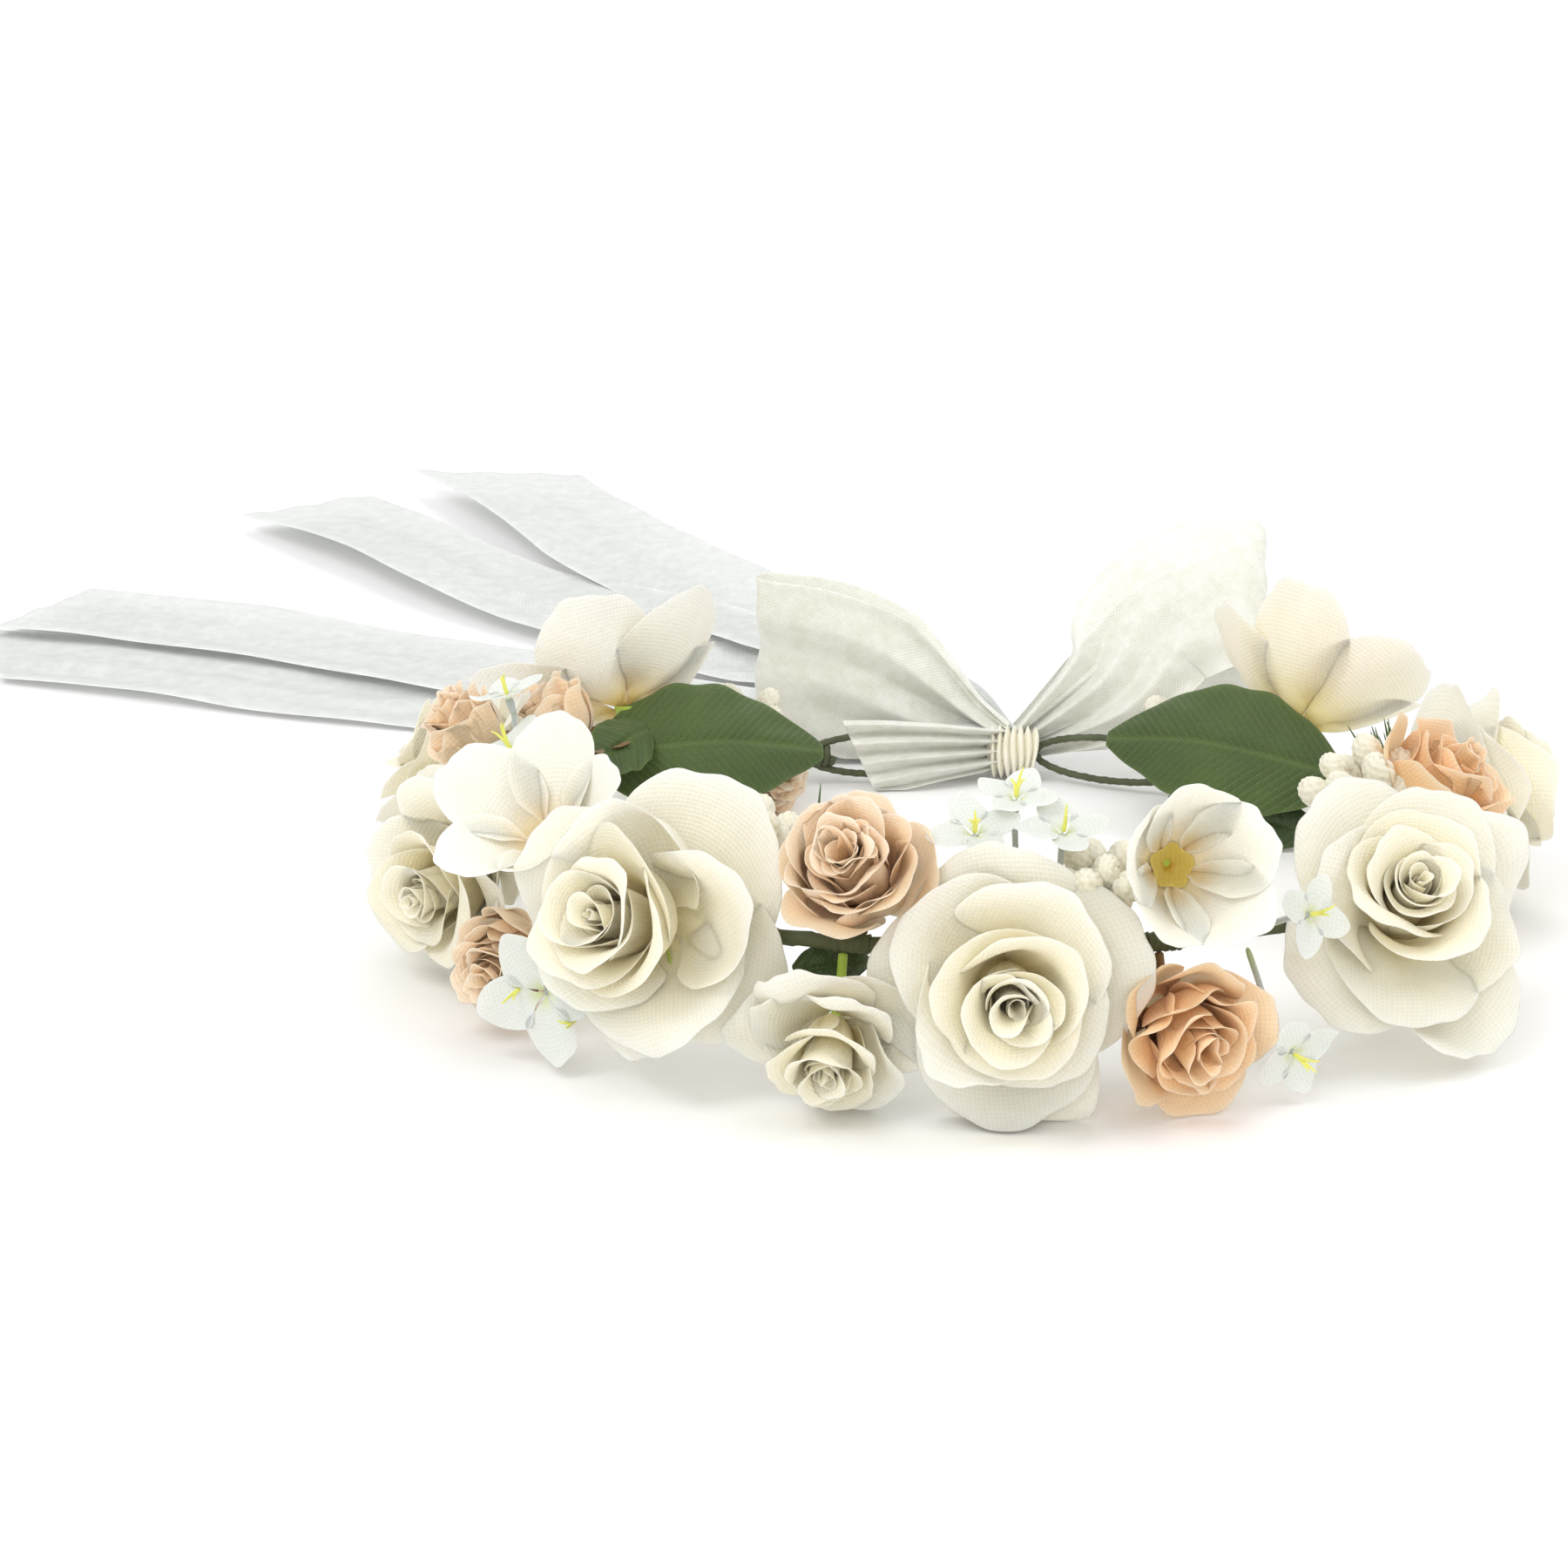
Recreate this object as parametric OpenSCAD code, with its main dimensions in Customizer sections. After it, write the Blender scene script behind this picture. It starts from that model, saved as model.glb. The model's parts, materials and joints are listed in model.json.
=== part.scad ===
// Flower crown: an open wire hoop with fabric flowers, leaves and berries bound to it,
// closed at the back by an organza bow with four long tails.
// The origin is the centre of the hoop. +X is the wearer's left, -Y the front, +Z up.

/* [Hoop] */
// Radius of the hoop's centre line
hoop_r = 92; // [88:1:96]
// Slope of the hoop where it rests: its front stands on petals, its back on the eyelets
hoop_slope = 7.5; // [7:0.5:8]
// Angle, from +X towards the back, at which the right end of the hoop wire lies
hoop_end_right = 57; // [55:1:60]
// Angle at which the left end of the hoop wire lies
hoop_end_left = 113; // [110:1:115]
// Radius of the steel wire
wire_r = 0.8; // [0.6:0.1:0.9]
// Outer radius of the tape wound round the wire
tape_r = 1.6; // [1.4:0.1:1.8]

/* [Eyelets] */
// Greatest half height of an eyelet loop
eyelet_half_h = 4.8; // [4:0.2:5]
// Half of the gap between the two eyelets
eyelet_gap = 5.5; // [5:0.5:6]
// X of the middle of the gap, where the bow is tied
bow_x = 10; // [8:1:12]

/* [Flowers] */
// Radius of the largest rose
rose_r = 25; // [23:0.5:25]
// Radius of a peach rose
peach_r = 13; // [11:0.5:13]
// Radius of an open plumeria-type blossom
blossom_r = 21; // [19:0.5:21]
// Thickness of a layer of petals
petal_t = 1; // [0.8:0.1:1]
// Radius of one lilac floret
floret_r = 9; // [8:0.5:9]

/* [Leaves] */
// Length of the big leaves
leaf_len = 50; // [44:1:52]
// Thickness of a leaf
leaf_t = 0.8; // [0.6:0.1:0.8]

/* [Ribbon] */
// Width of the organza ribbon
ribbon_w = 38; // [34:1:38]
// Thickness of one layer of ribbon
ribbon_t = 0.8; // [0.6:0.1:0.8]
// Length of a tail from its hinge at the knot
tail_len = 262; // [230:1:270]

/* [Hidden] */
$fn = 48;
floor_z = -18;
gap = 0.3;
layer_pitch = ribbon_t + gap;
binding_r = tape_r + 0.8;
knot_r = 5.6;
knot_half_w = 8.5;
knot_web = 4;
knot_bore_r = 4.2;
tail_pivot = [8, 100];
tail_gather = 60;
tail_root_w = 5;
tip_y = 92.5;
rose_depth = 14;
petal_turn = 17;
short_end_clear = 2.6;

// Each placement is [hoop angle, radius, height, tilt up, turn sideways, spin, size].
// Radius and height are those of the flower's centre in the plane of the hoop.
rose_front_at = [-86, 111, -2, 6, -4, 0, 0.96];
rose_front_left_at = [-122, 111, 4, 15, 21, 24, 0.98];
rose_right_at = [-40, 112, 3, 22, -28, 10, 0.96];
rose_left_at = [-161, 110, -1.8, -4, 24, 40, 0.84];
rose_low_at = [-104, 105, -17.2, -34, 0, 30, 0.62];
rose_right_rear_at = [11, 110, 6.4, 14, 10, 0, 0.88];
rose_left_rear_at = [169, 110, 10, 34, 0, 0, 0.84];
ROSES = [rose_front_at, rose_front_left_at, rose_right_at, rose_left_at, rose_low_at,
    rose_right_rear_at, rose_left_rear_at];

blossom_left_at = [-142, 104, 17, 48, 24, 0, 0.82];
blossom_front_at = [-66, 99, 22, 52, 12, 0, 0.72];
blossom_left_rear_at = [142, 102, 26, 58, 0, 0, 1];
blossom_right_rear_at = [41, 101, 22, 50, 14, 36, 0.95];
BLOSSOMS = [blossom_left_at, blossom_front_at, blossom_left_rear_at, blossom_right_rear_at];

peach_front_at = [-102, 97, 15, 34, 0, 0, 0.95];
peach_front_right_at = [-67, 107, -14, -14, 0, 0, 0.95];
peach_right_at = [-9, 97, 17, 44, -20, 0, 0.95];
peach_left_at = [-174, 102, 24, 46, 0, 0, 0.68];
peach_left_low_at = [-145.5, 107, -12, -12, 30, 0, 0.85];
peach_left_rear_at = [155.5, 97, 16, 50, 0, 0, 0.7];
peach_inner_at = [124, 79, 0, 10, 180, 0, 0.7];
PEACHES = [peach_front_at, peach_front_right_at, peach_right_at, peach_left_at,
    peach_left_low_at, peach_left_rear_at, peach_inner_at];

// Lilac sprigs: a list of florets, each placed as a flower is
lilac_left_high_at = [[-160, 95, 23, 60, 0, 0, 1], [-166, 94, 32, 72, 0, 20, 0.8]];
lilac_left_low_at = [[-137, 113, -12, -8, 20, 0, 0.85], [-132, 108, -17, -16, 20, 30, 0.7]];
lilac_front_at = [[-89, 93, 21, 60, 0, 0, 0.9], [-79, 93, 21, 64, 0, 20, 0.9],
    [-84, 86, 26, 70, 0, 40, 0.8]];
lilac_front_right_at = [[-56, 108, -19, -16, 0, 0, 0.9], [-54, 107, 6, 16, 0, 20, 0.8]];
LILACS = [lilac_left_high_at, lilac_left_low_at, lilac_front_at, lilac_front_right_at];

// Colours
cream = "#EFEFDF";
ivory = "#F2ECCB";
peach = "#EFC29A";
leaf_green = "#4B5C22";
tape_green = "#555B41";
lime = "#B5CF55";
organza = "#E9EBE6";

// Puts its children in the plane of the hoop
module hoop_plane() {
    rotate([-hoop_slope, 0, 0]) children();
}

// Puts its children at a flower's place, with the flower's own axis along +Z
module place(p) {
    hoop_plane()
        rotate([0, 0, p[0]])
        translate([p[1], 0, p[2]])
        rotate([0, 0, p[4]])
        rotate([0, 90 - p[3], 0])
        rotate([0, 0, p[5]])
        children();
}

// A flower's axis, in the vertical plane through its hoop angle
function axis_of(p) = [cos(p[3]) * cos(p[4]), cos(p[3]) * sin(p[4]), sin(p[3])];

// A round rod between two points
module rod(a, b, r) {
    d = b - a;
    translate(a)
        rotate([0, acos(d[2] / norm(d)), atan2(d[1], d[0])])
        cylinder(h = norm(d), r = r, $fn = 16);
}

// A stem from `back` behind the flower's centre straight to the binding on the hoop
module stem(p, back, r) {
    start = [p[1], 0, p[2]] - back * axis_of(p);
    on_hoop = [sqrt(hoop_r * hoop_r - start[1] * start[1]), start[1], 0];
    toward = start - on_hoop;
    finish = on_hoop + toward / norm(toward) * (binding_r + r * 0.5 + gap);
    if (norm(toward) > binding_r + r + 1)
        hoop_plane() rotate([0, 0, p[0]]) rod(start, finish, r);
}

// A flat outline of round petals
module petal_outline(r, count, fullness) {
    petal_radius = r * fullness;
    for (i = [0 : count - 1])
        rotate([0, 0, i * 360 / count])
            translate([r - petal_radius, 0])
            circle(r = petal_radius);
    circle(r = r * 0.45);
}

// A cup of petals: a revolved wall trimmed to the petal outline.
// The wall leaves the axis at `-depth` and reaches radius r at `rise`.
module petal_cup(r, depth, rise, count, fullness) {
    span = depth + rise;
    back = [[1.5, -depth], [r * 0.5, -depth + span * 0.16], [r * 0.82, -depth + span * 0.52],
        [r * 1.02, rise]];
    face = [for (i = [3 : -1 : 0]) back[i] + [-petal_t * 0.5 * (i > 0 ? 1 : 0), petal_t]];
    intersection() {
        rotate_extrude() polygon(concat(back, face));
        translate([0, 0, -depth - 1])
            linear_extrude(span + 4)
            rotate([0, 0, petal_turn])
            petal_outline(r, count, fullness);
    }
}

// A closed bud with a furled tip
module bud(r, low, high) {
    mid = low + (high - low) * 0.55;
    rotate_extrude() polygon([[0, low], [r * 0.55, low + r * 0.12], [r * 0.95, mid - r * 0.2],
        [r, mid], [r * 0.85, high - r * 0.35], [r * 0.5, high], [r * 0.42, high - r * 0.15],
        [r * 0.2, high - r * 0.5], [0, high - r * 0.5]]);
}

module rose_outer(p) {
    r = rose_r * p[6];
    place(p) petal_cup(r, rose_depth * p[6], r * 0.06, 5, 0.56);
}

module rose_heart(p) {
    r = rose_r * p[6];
    depth = rose_depth * p[6];
    place(p) {
        petal_cup(r * 0.66, depth - petal_t - gap, r * 0.3, 5, 0.56);
        bud(r * 0.34, -depth + petal_t * 1.6, r * 0.34);
    }
}

// A calyx cup behind a flower, with its stem
module calyx(p, depth, r) {
    place(p)
        rotate_extrude()
        polygon([[0, -depth - 2.4], [r * 0.3, -depth - 2.4], [r, -depth - 0.2],
            [r, -depth + 0.1], [1.5, -depth - gap], [0, -depth - gap]]);
    stem(p, depth + 2.4, 0.9);
}

// A small many-petalled rose, made as one ruffled ball open at its face
module peach_rose(p) {
    r = peach_r * p[6];
    place(p)
        rotate_extrude()
        polygon([[0, -r * 0.85], [r * 0.4, -r * 0.8], [r * 0.85, -r * 0.35], [r, r * 0.2],
            [r * 0.86, r * 0.42], [r * 0.7, r * 0.16], [r * 0.62, r * 0.56], [r * 0.46, r * 0.24],
            [r * 0.36, r * 0.62], [r * 0.16, r * 0.34], [0, r * 0.34]]);
}

// A plumeria-type blossom: five petals opening from a narrow throat
module blossom(p) {
    r = blossom_r * p[6];
    place(p) petal_cup(r, 13 * p[6], r * 0.36, 5, 0.44);
}

// The yellow throat lining inside a blossom
module blossom_throat(p) {
    r = blossom_r * p[6];
    place(p) translate([0, 0, -13 * p[6] + petal_t + 1.6])
        cylinder(h = 2.2, r1 = r * 0.12, r2 = r * 0.34);
}

module lilac_floret(p) {
    r = floret_r * p[6];
    place(p) {
        linear_extrude(1) {
            for (i = [0 : 3])
                rotate([0, 0, i * 90]) translate([r * 0.55, 0]) circle(r = r * 0.42);
            circle(r = r * 0.3);
        }
        translate([0, 0, -4]) cylinder(h = 4.2, r = 0.8);
    }
    stem(p, 4, 0.5);
}

module lilac(florets) {
    color("#F4F6EF") for (p = florets) lilac_floret(p);
}

// A cluster of berries on stalks that meet at the hoop. Each head is [out, along, up].
module berries(angle, base, heads) {
    color("#E9E8D2") hoop_plane() rotate([0, 0, angle])
        for (h = heads) {
            translate(h) sphere(r = 2.9);
            rod(base, h, 0.5);
        }
}

// A spray of narrow blades from one point. Each tip is [out, along, up].
module fern(angle, base, tips) {
    color("#3F5A24") hoop_plane() rotate([0, 0, angle]) {
        for (t = tips) rod(base, t, 0.6);
        translate(base) sphere(r = 1);
    }
}

// A pointed leaf bent over a cylinder, its length along X and its face to +Z
module leaf(len, width, bend_r) {
    half = len / 2;
    arc_r = (half * half + width * width / 4) / width;
    intersection() {
        linear_extrude(height = bend_r, center = true)
            intersection() {
                translate([0, arc_r - width / 2]) circle(r = arc_r, $fn = 96);
                translate([0, width / 2 - arc_r]) circle(r = arc_r, $fn = 96);
            }
        translate([0, 0, -bend_r])
            rotate([90, 0, 0])
            difference() {
                cylinder(h = width * 2, r = bend_r, center = true, $fn = 96);
                cylinder(h = width * 2 + 2, r = bend_r - leaf_t, center = true, $fn = 96);
            }
    }
}

// Points of a closed teardrop in the X-Z plane, from the twist at 0 to the tip at `len`
function teardrop(len) = [for (i = [0 : 39])
    let (a = i * 9) [len / 2 * (1 - cos(a)), 0, eyelet_half_h * sin(a)]];

// A round wire swept along a closed loop of points in the X-Z plane
module wire_loop(points, r) {
    sides = 8;
    n = len(points);
    function at(i, k) = let (
        t = points[(i + 1) % n] - points[(i + n - 1) % n],
        u = t / norm(t),
        side = [-u[2], 0, u[0]],
        a = k * 360 / sides
    ) points[i] + r * (cos(a) * side + sin(a) * [0, 1, 0]);
    polyhedron(
        points = [for (i = [0 : n - 1]) for (k = [0 : sides - 1]) at(i, k)],
        faces = [for (i = [0 : n - 1]) for (k = [0 : sides - 1])
            let (j = (i + 1) % n, l = (k + 1) % sides)
            [i * sides + k, i * sides + l, j * sides + l, j * sides + k]]);
}

module eyelet(hoop_angle, tip_x) {
    start = [hoop_r * cos(hoop_angle), hoop_r * sin(hoop_angle)];
    run = [tip_x, tip_y] - start;
    color(tape_green) hoop_plane()
        translate([start[0], start[1], 0])
        rotate([0, 0, atan2(run[1], run[0])])
        wire_loop(teardrop(norm(run)), 0.9);
}

// A bow loop: a hairpin in plan, trimmed to a wedge that widens away from the knot.
// `reach` is where it folds, `low` and `high` are the heights of the fold's two ends.
module bow_loop(side, reach, spread, low, high) {
    root = 7;
    mirror([side < 0 ? 1 : 0, 0, 0])
        intersection() {
            translate([0, 0, low - 1]) linear_extrude(high - low + 12) difference() {
                polygon([[root, 97.7], [reach - spread / 2, 99], [reach, 99 + spread / 2],
                    [reach - spread / 2, 99 + spread], [root, 98.1 + 2 * ribbon_t]]);
                polygon([[root + 8, 98.1 + ribbon_t * 0.6],
                    [reach - spread / 2 - ribbon_t, 99 + ribbon_t],
                    [reach - ribbon_t * 1.4, 99 + spread / 2],
                    [reach - spread / 2 - ribbon_t, 99 + spread - ribbon_t]]);
            }
            translate([0, 90, 0]) rotate([-90, 0, 0]) linear_extrude(40)
                polygon([[root, 12.4], [root, 8], [reach, -high], [reach + 1, -high],
                    [reach + 1, -low], [reach, -low]]);
        }
}

// A flat tail, gathered at its hinge and cut at its far end.
// `level` counts the layers up from the surface that the crown rests on.
module tail(direction, len, cut, level) {
    half = ribbon_w / 2;
    color(organza)
        translate([tail_pivot[0], tail_pivot[1], floor_z + level * layer_pitch])
        rotate([0, 0, direction])
        linear_extrude(ribbon_t)
        polygon([[0, -tail_root_w / 2], [tail_gather, -half], [len - cut, -half],
            [len, 0], [len + cut, half], [tail_gather, half], [0, tail_root_w / 2]]);
}

// Frame
module hoop_arc(inner, outer, trim) {
    hoop_plane()
        rotate([0, 0, hoop_end_left + trim])
        rotate_extrude(angle = 360 - (hoop_end_left - hoop_end_right) - 2 * trim, $fn = 180)
        translate([hoop_r, 0])
        difference() {
            circle(r = outer);
            if (inner > 0) circle(r = inner);
        }
}

module hoop_wire() { color("silver") hoop_arc(0, wire_r, 2.5); }
module hoop_tape() { color(tape_green) hoop_arc(wire_r + 0.05, tape_r, 2.5); }
module left_eyelet() { eyelet(hoop_end_left, bow_x - eyelet_gap); }
module right_eyelet() { eyelet(hoop_end_right, bow_x + eyelet_gap); }

// A short straight winding round the hoop at one angle
module winding(angle, width) {
    hoop_plane()
        rotate([0, 0, angle])
        translate([hoop_r, 0, 0])
        rotate([90, 0, 0])
        difference() {
            cylinder(h = width, r = binding_r, center = true);
            cylinder(h = width + 2, r = tape_r + 0.1, center = true);
        }
}

module eyelet_bindings() {
    color(tape_green) for (a = [hoop_end_left + 5, hoop_end_right - 5]) winding(a, 6);
}

module stem_bindings() {
    color(tape_green) for (p = concat(ROSES, BLOSSOMS, PEACHES)) winding(p[0], 4.5);
}

// Roses
module rose_front_outer() { color(cream) rose_outer(rose_front_at); }
module rose_front_heart() { color(ivory) rose_heart(rose_front_at); }
module rose_front_left_outer() { color(cream) rose_outer(rose_front_left_at); }
module rose_front_left_heart() { color(ivory) rose_heart(rose_front_left_at); }
module rose_right_outer() { color(cream) rose_outer(rose_right_at); }
module rose_right_heart() { color(ivory) rose_heart(rose_right_at); }
module rose_left_outer() { color(cream) rose_outer(rose_left_at); }
module rose_left_heart() { color(ivory) rose_heart(rose_left_at); }
module rose_low_outer() { color(cream) rose_outer(rose_low_at); }
module rose_low_heart() { color(ivory) rose_heart(rose_low_at); }
module rose_right_rear_outer() { color(cream) rose_outer(rose_right_rear_at); }
module rose_right_rear_heart() { color(ivory) rose_heart(rose_right_rear_at); }
module rose_left_rear_outer() { color(cream) rose_outer(rose_left_rear_at); }
module rose_left_rear_heart() { color(ivory) rose_heart(rose_left_rear_at); }
module rose_calyxes() {
    color(lime) for (p = ROSES) calyx(p, rose_depth * p[6], 5);
}

// Blossoms
module blossom_left() { color(cream) blossom(blossom_left_at); }
module blossom_front() { color(cream) blossom(blossom_front_at); }
module blossom_left_rear() { color(cream) blossom(blossom_left_rear_at); }
module blossom_right_rear() { color(cream) blossom(blossom_right_rear_at); }
module blossom_throats() { color("#E8D066") for (p = BLOSSOMS) blossom_throat(p); }
module blossom_calyxes() { color(lime) for (p = BLOSSOMS) calyx(p, 13 * p[6], 3.5); }

// Peach roses
module peach_front() { color(peach) peach_rose(peach_front_at); }
module peach_front_right() { color(peach) peach_rose(peach_front_right_at); }
module peach_right() { color(peach) peach_rose(peach_right_at); }
module peach_left() { color(peach) peach_rose(peach_left_at); }
module peach_left_low() { color(peach) peach_rose(peach_left_low_at); }
module peach_left_rear() { color(peach) peach_rose(peach_left_rear_at); }
module peach_inner() { color(peach) peach_rose(peach_inner_at); }
module peach_calyxes() {
    color("#6B4A27") for (p = PEACHES) calyx(p, peach_r * p[6] * 0.85, 3.5);
}

// Lilac sprigs
module lilac_left_high() { lilac(lilac_left_high_at); }
module lilac_left_low() { lilac(lilac_left_low_at); }
module lilac_front() { lilac(lilac_front_at); }
module lilac_front_right() { lilac(lilac_front_right_at); }
module lilac_stamens() {
    color("#E7E376") for (sprig = LILACS) for (p = sprig)
        place(p) translate([0, 0, 1 + gap]) cylinder(h = 5, r = 0.5, $fn = 16);
}

// Berry sprigs. A head is [out from the hoop, along it, up].
module berry_sprig(angle, heads) {
    berries(angle, [hoop_r, 0, binding_r + 1], [for (h = heads) [hoop_r + h[0], h[1], h[2]]]);
}
module berries_front_left() {
    berry_sprig(-117, [[-5, -9, 9], [-7, -2, 14], [-11, 4, 9], [-4, 5, 16], [-13, -2, 17]]);
}
module berries_front_right() {
    berry_sprig(-74, [[-8, -3, 8], [-9, 3, 13], [9, -4, 11], [10, 1, 5], [4, 0, 14]]);
}
module berries_right() {
    berry_sprig(-12, [[-9, -6, 13], [-14, 0, 11], [-12, 7, 14], [-17, -7, 15], [-9, 1, 20]]);
}
module berries_rear() {
    berry_sprig(53, [[3, 8, 9], [-4, 14, 11], [2, 19, 12]]);
    berry_sprig(121, [[-5, -3, 10], [4, 0, 11], [-1, 7, 12]]);
}

// Fern sprays. A tip is [out from the hoop, along it, up].
module fern_spray(angle, tips) {
    fern(angle, [hoop_r - 2, 0, binding_r + 2], [for (t = tips) [hoop_r + t[0], t[1], t[2]]]);
}
module fern_front_left() {
    fern_spray(-106.5, [[-5, -7, 19], [-8, -4, 24], [-5, 0, 25], [-10, 3, 19], [-14, -1, 15]]);
}
module fern_right() {
    fern_spray(4, [[-4, -7, 22], [-7, -2, 27], [-4, 4, 24], [-10, -8, 18], [-12, 3, 20]]);
}

// Leaves
module big_leaf(centre, turn, tilt, roll, len, width) {
    color(leaf_green)
        translate(centre)
        rotate([0, 0, turn])
        rotate([0, tilt, 0])
        rotate([roll, 0, 0])
        leaf(len, width, 46);
}
module leaf_right() { big_leaf([53, 50, 3], -14, 4, 52, leaf_len, 28); }
module leaf_right_under() { big_leaf([58, 47, -11], -20, 6, 64, leaf_len * 0.66, 13); }
module leaf_left() { big_leaf([-54, 50, 2], 12, 2, 52, leaf_len, 28); }
module leaf_left_small() { big_leaf([-74, 38, 6], 60, -6, 40, leaf_len * 0.5, 13); }
module leaves_front() {
    big_leaf([-24, -86, 6], 20, 0, 60, leaf_len * 0.3, 9);
    big_leaf([20, -92, 3], -10, 0, 80, leaf_len * 0.3, 8);
}

// Ribbon
module bow_knot() {
    color("#DED7B6") hoop_plane()
        translate([bow_x, tip_y, 0])
        rotate([0, 90, 0])
        difference() {
            union() {
                cylinder(h = knot_half_w * 2, r = knot_r - 0.4, center = true);
                cylinder(h = knot_half_w * 1.1, r = knot_r, center = true);
            }
            for (side = [0, 1]) mirror([0, 0, side])
                translate([0, 0, knot_web]) cylinder(h = knot_half_w, r = knot_bore_r);
        }
}
module bow_loop_left() {
    color(organza) translate([bow_x, 0, 0]) bow_loop(-1, 58, 7, -13, 26);
}
module bow_loop_right() {
    color(organza) translate([bow_x, 0, 0]) bow_loop(1, 56, 12, -4, 34);
}
// A short end of the ribbon: it leaves the front of the knot, turns, and runs along the hoop.
// `low` and `high` are its two edges, measured from the knot's centre.
module short_end(side, reach, low, high) {
    front = knot_r + short_end_clear;
    hoop_plane()
        translate([bow_x, tip_y, 0])
        mirror([side < 0 ? 1 : 0, 0, 0])
        translate([0, 0, low])
        linear_extrude(high - low)
        polygon([[0, -knot_r - 0.1], [0, -front - ribbon_t], [reach, -front - ribbon_t],
            [reach - 3, -front], [ribbon_t + 1, -front], [ribbon_t + 1, -knot_r - 0.1]]);
}
module bow_short_ends() {
    color(organza) {
        short_end(-1, 34, -4.4, 4.5);
        short_end(1, 15, -4.6, 0);
    }
}
module tail_1() { tail(122, tail_len, 14, 3); }
module tail_2() { tail(134, tail_len + 8, 3, 2); }
module tail_3() { tail(157, tail_len, 2, 1); }
module tail_4() { tail(164, tail_len - 6, -12, 0); }

hoop_wire();
hoop_tape();
left_eyelet();
right_eyelet();
eyelet_bindings();
stem_bindings();
rose_front_outer();
rose_front_heart();
rose_front_left_outer();
rose_front_left_heart();
rose_right_outer();
rose_right_heart();
rose_left_outer();
rose_left_heart();
rose_low_outer();
rose_low_heart();
rose_right_rear_outer();
rose_right_rear_heart();
rose_left_rear_outer();
rose_left_rear_heart();
rose_calyxes();
blossom_left();
blossom_front();
blossom_left_rear();
blossom_right_rear();
blossom_throats();
blossom_calyxes();
peach_front();
peach_front_right();
peach_right();
peach_left();
peach_left_low();
peach_left_rear();
peach_inner();
peach_calyxes();
lilac_left_high();
lilac_left_low();
lilac_front();
lilac_front_right();
lilac_stamens();
berries_front_left();
berries_front_right();
berries_right();
berries_rear();
fern_front_left();
fern_right();
leaf_right();
leaf_right_under();
leaf_left();
leaf_left_small();
leaves_front();
bow_knot();
bow_loop_left();
bow_loop_right();
bow_short_ends();
tail_1();
tail_2();
tail_3();
tail_4();
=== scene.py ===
"""Flower crown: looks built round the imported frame.

Lengths are in millimetres and become metres in Sheets.piece(). Every flower takes its place
and its axis from its own CAD node, so nothing here repeats a position from the design.
"""
import json
import math
import random

import bpy
import numpy as np
from mathutils import Matrix, Vector, noise


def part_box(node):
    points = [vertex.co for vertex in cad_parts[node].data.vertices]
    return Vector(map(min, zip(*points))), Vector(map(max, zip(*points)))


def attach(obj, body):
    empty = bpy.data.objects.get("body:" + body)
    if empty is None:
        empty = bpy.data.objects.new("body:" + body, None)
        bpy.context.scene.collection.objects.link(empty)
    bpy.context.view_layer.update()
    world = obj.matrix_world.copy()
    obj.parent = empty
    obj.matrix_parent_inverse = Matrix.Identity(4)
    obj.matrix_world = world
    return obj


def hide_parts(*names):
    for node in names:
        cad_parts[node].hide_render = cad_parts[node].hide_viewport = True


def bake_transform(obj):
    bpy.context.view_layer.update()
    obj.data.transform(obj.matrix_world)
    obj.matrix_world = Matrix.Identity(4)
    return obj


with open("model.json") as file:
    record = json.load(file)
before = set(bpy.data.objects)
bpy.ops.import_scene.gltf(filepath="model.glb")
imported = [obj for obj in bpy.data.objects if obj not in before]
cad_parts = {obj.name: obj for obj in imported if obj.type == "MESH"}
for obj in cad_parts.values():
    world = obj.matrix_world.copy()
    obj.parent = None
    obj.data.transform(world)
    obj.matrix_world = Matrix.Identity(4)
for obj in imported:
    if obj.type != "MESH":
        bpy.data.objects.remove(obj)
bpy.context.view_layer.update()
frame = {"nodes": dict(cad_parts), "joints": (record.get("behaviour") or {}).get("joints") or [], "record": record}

MM = 0.001
FLOOR_Z = -18.0
CLOTH = 0.18           # thickness of a petal
ORGANZA = 0.2          # thickness of the ribbon
RIBBON_W = 38.0
TAIL_GAP = 1.9         # height between one tail and the next
WIRE_R = 0.8           # the hoop wire's own radius
CM = 10                # millimetres in a centimetre, the unit of the weave map
GOLDEN_ANGLE = 2.39996
FERN_BLADES = 20
EYELET_WRAPS = 4       # turns of the twist at each eyelet's foot
LOOP_POINTS = 120      # points along a bow loop
CAMERA_RISE = math.radians(20)
CAMERA_AWAY = 0.9
CAMERA_AIM = Vector((-0.0416, 0.9429, -0.3303))
WHITE = (1, 1, 1, 1)


# ---------------------------------------------------------------- places from the frame
def triangles(node):
    """The node's triangles in millimetres, as an array of shape (n, 3, 3)."""
    mesh = frame["nodes"][node].data
    mesh.calc_loop_triangles()
    points = np.array([v.co for v in mesh.vertices]) / MM
    return points[np.array([t.vertices for t in mesh.loop_triangles])]


def islands(node):
    """The node's separate solids, as a list of triangle arrays."""
    tris = triangles(node)
    keys = {}
    corner = np.array([keys.setdefault(tuple(np.round(p, 3)), len(keys))
                       for p in tris.reshape(-1, 3)]).reshape(-1, 3)
    parent = list(range(len(keys)))

    def root(i):
        while parent[i] != i:
            parent[i] = parent[parent[i]]
            i = parent[i]
        return i

    for a, b, c in corner:
        parent[root(a)] = root(b)
        parent[root(b)] = root(c)
    label = np.array([root(c[0]) for c in corner])
    found = [tris[label == k] for k in np.unique(label)]
    return sorted(found, key=lambda t: tuple(t.mean(axis=(0, 1)).round(1)))


def box_middle(points):
    """The middle of the points' bounding box."""
    return (points.min(axis=0) + points.max(axis=0)) / 2


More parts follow.
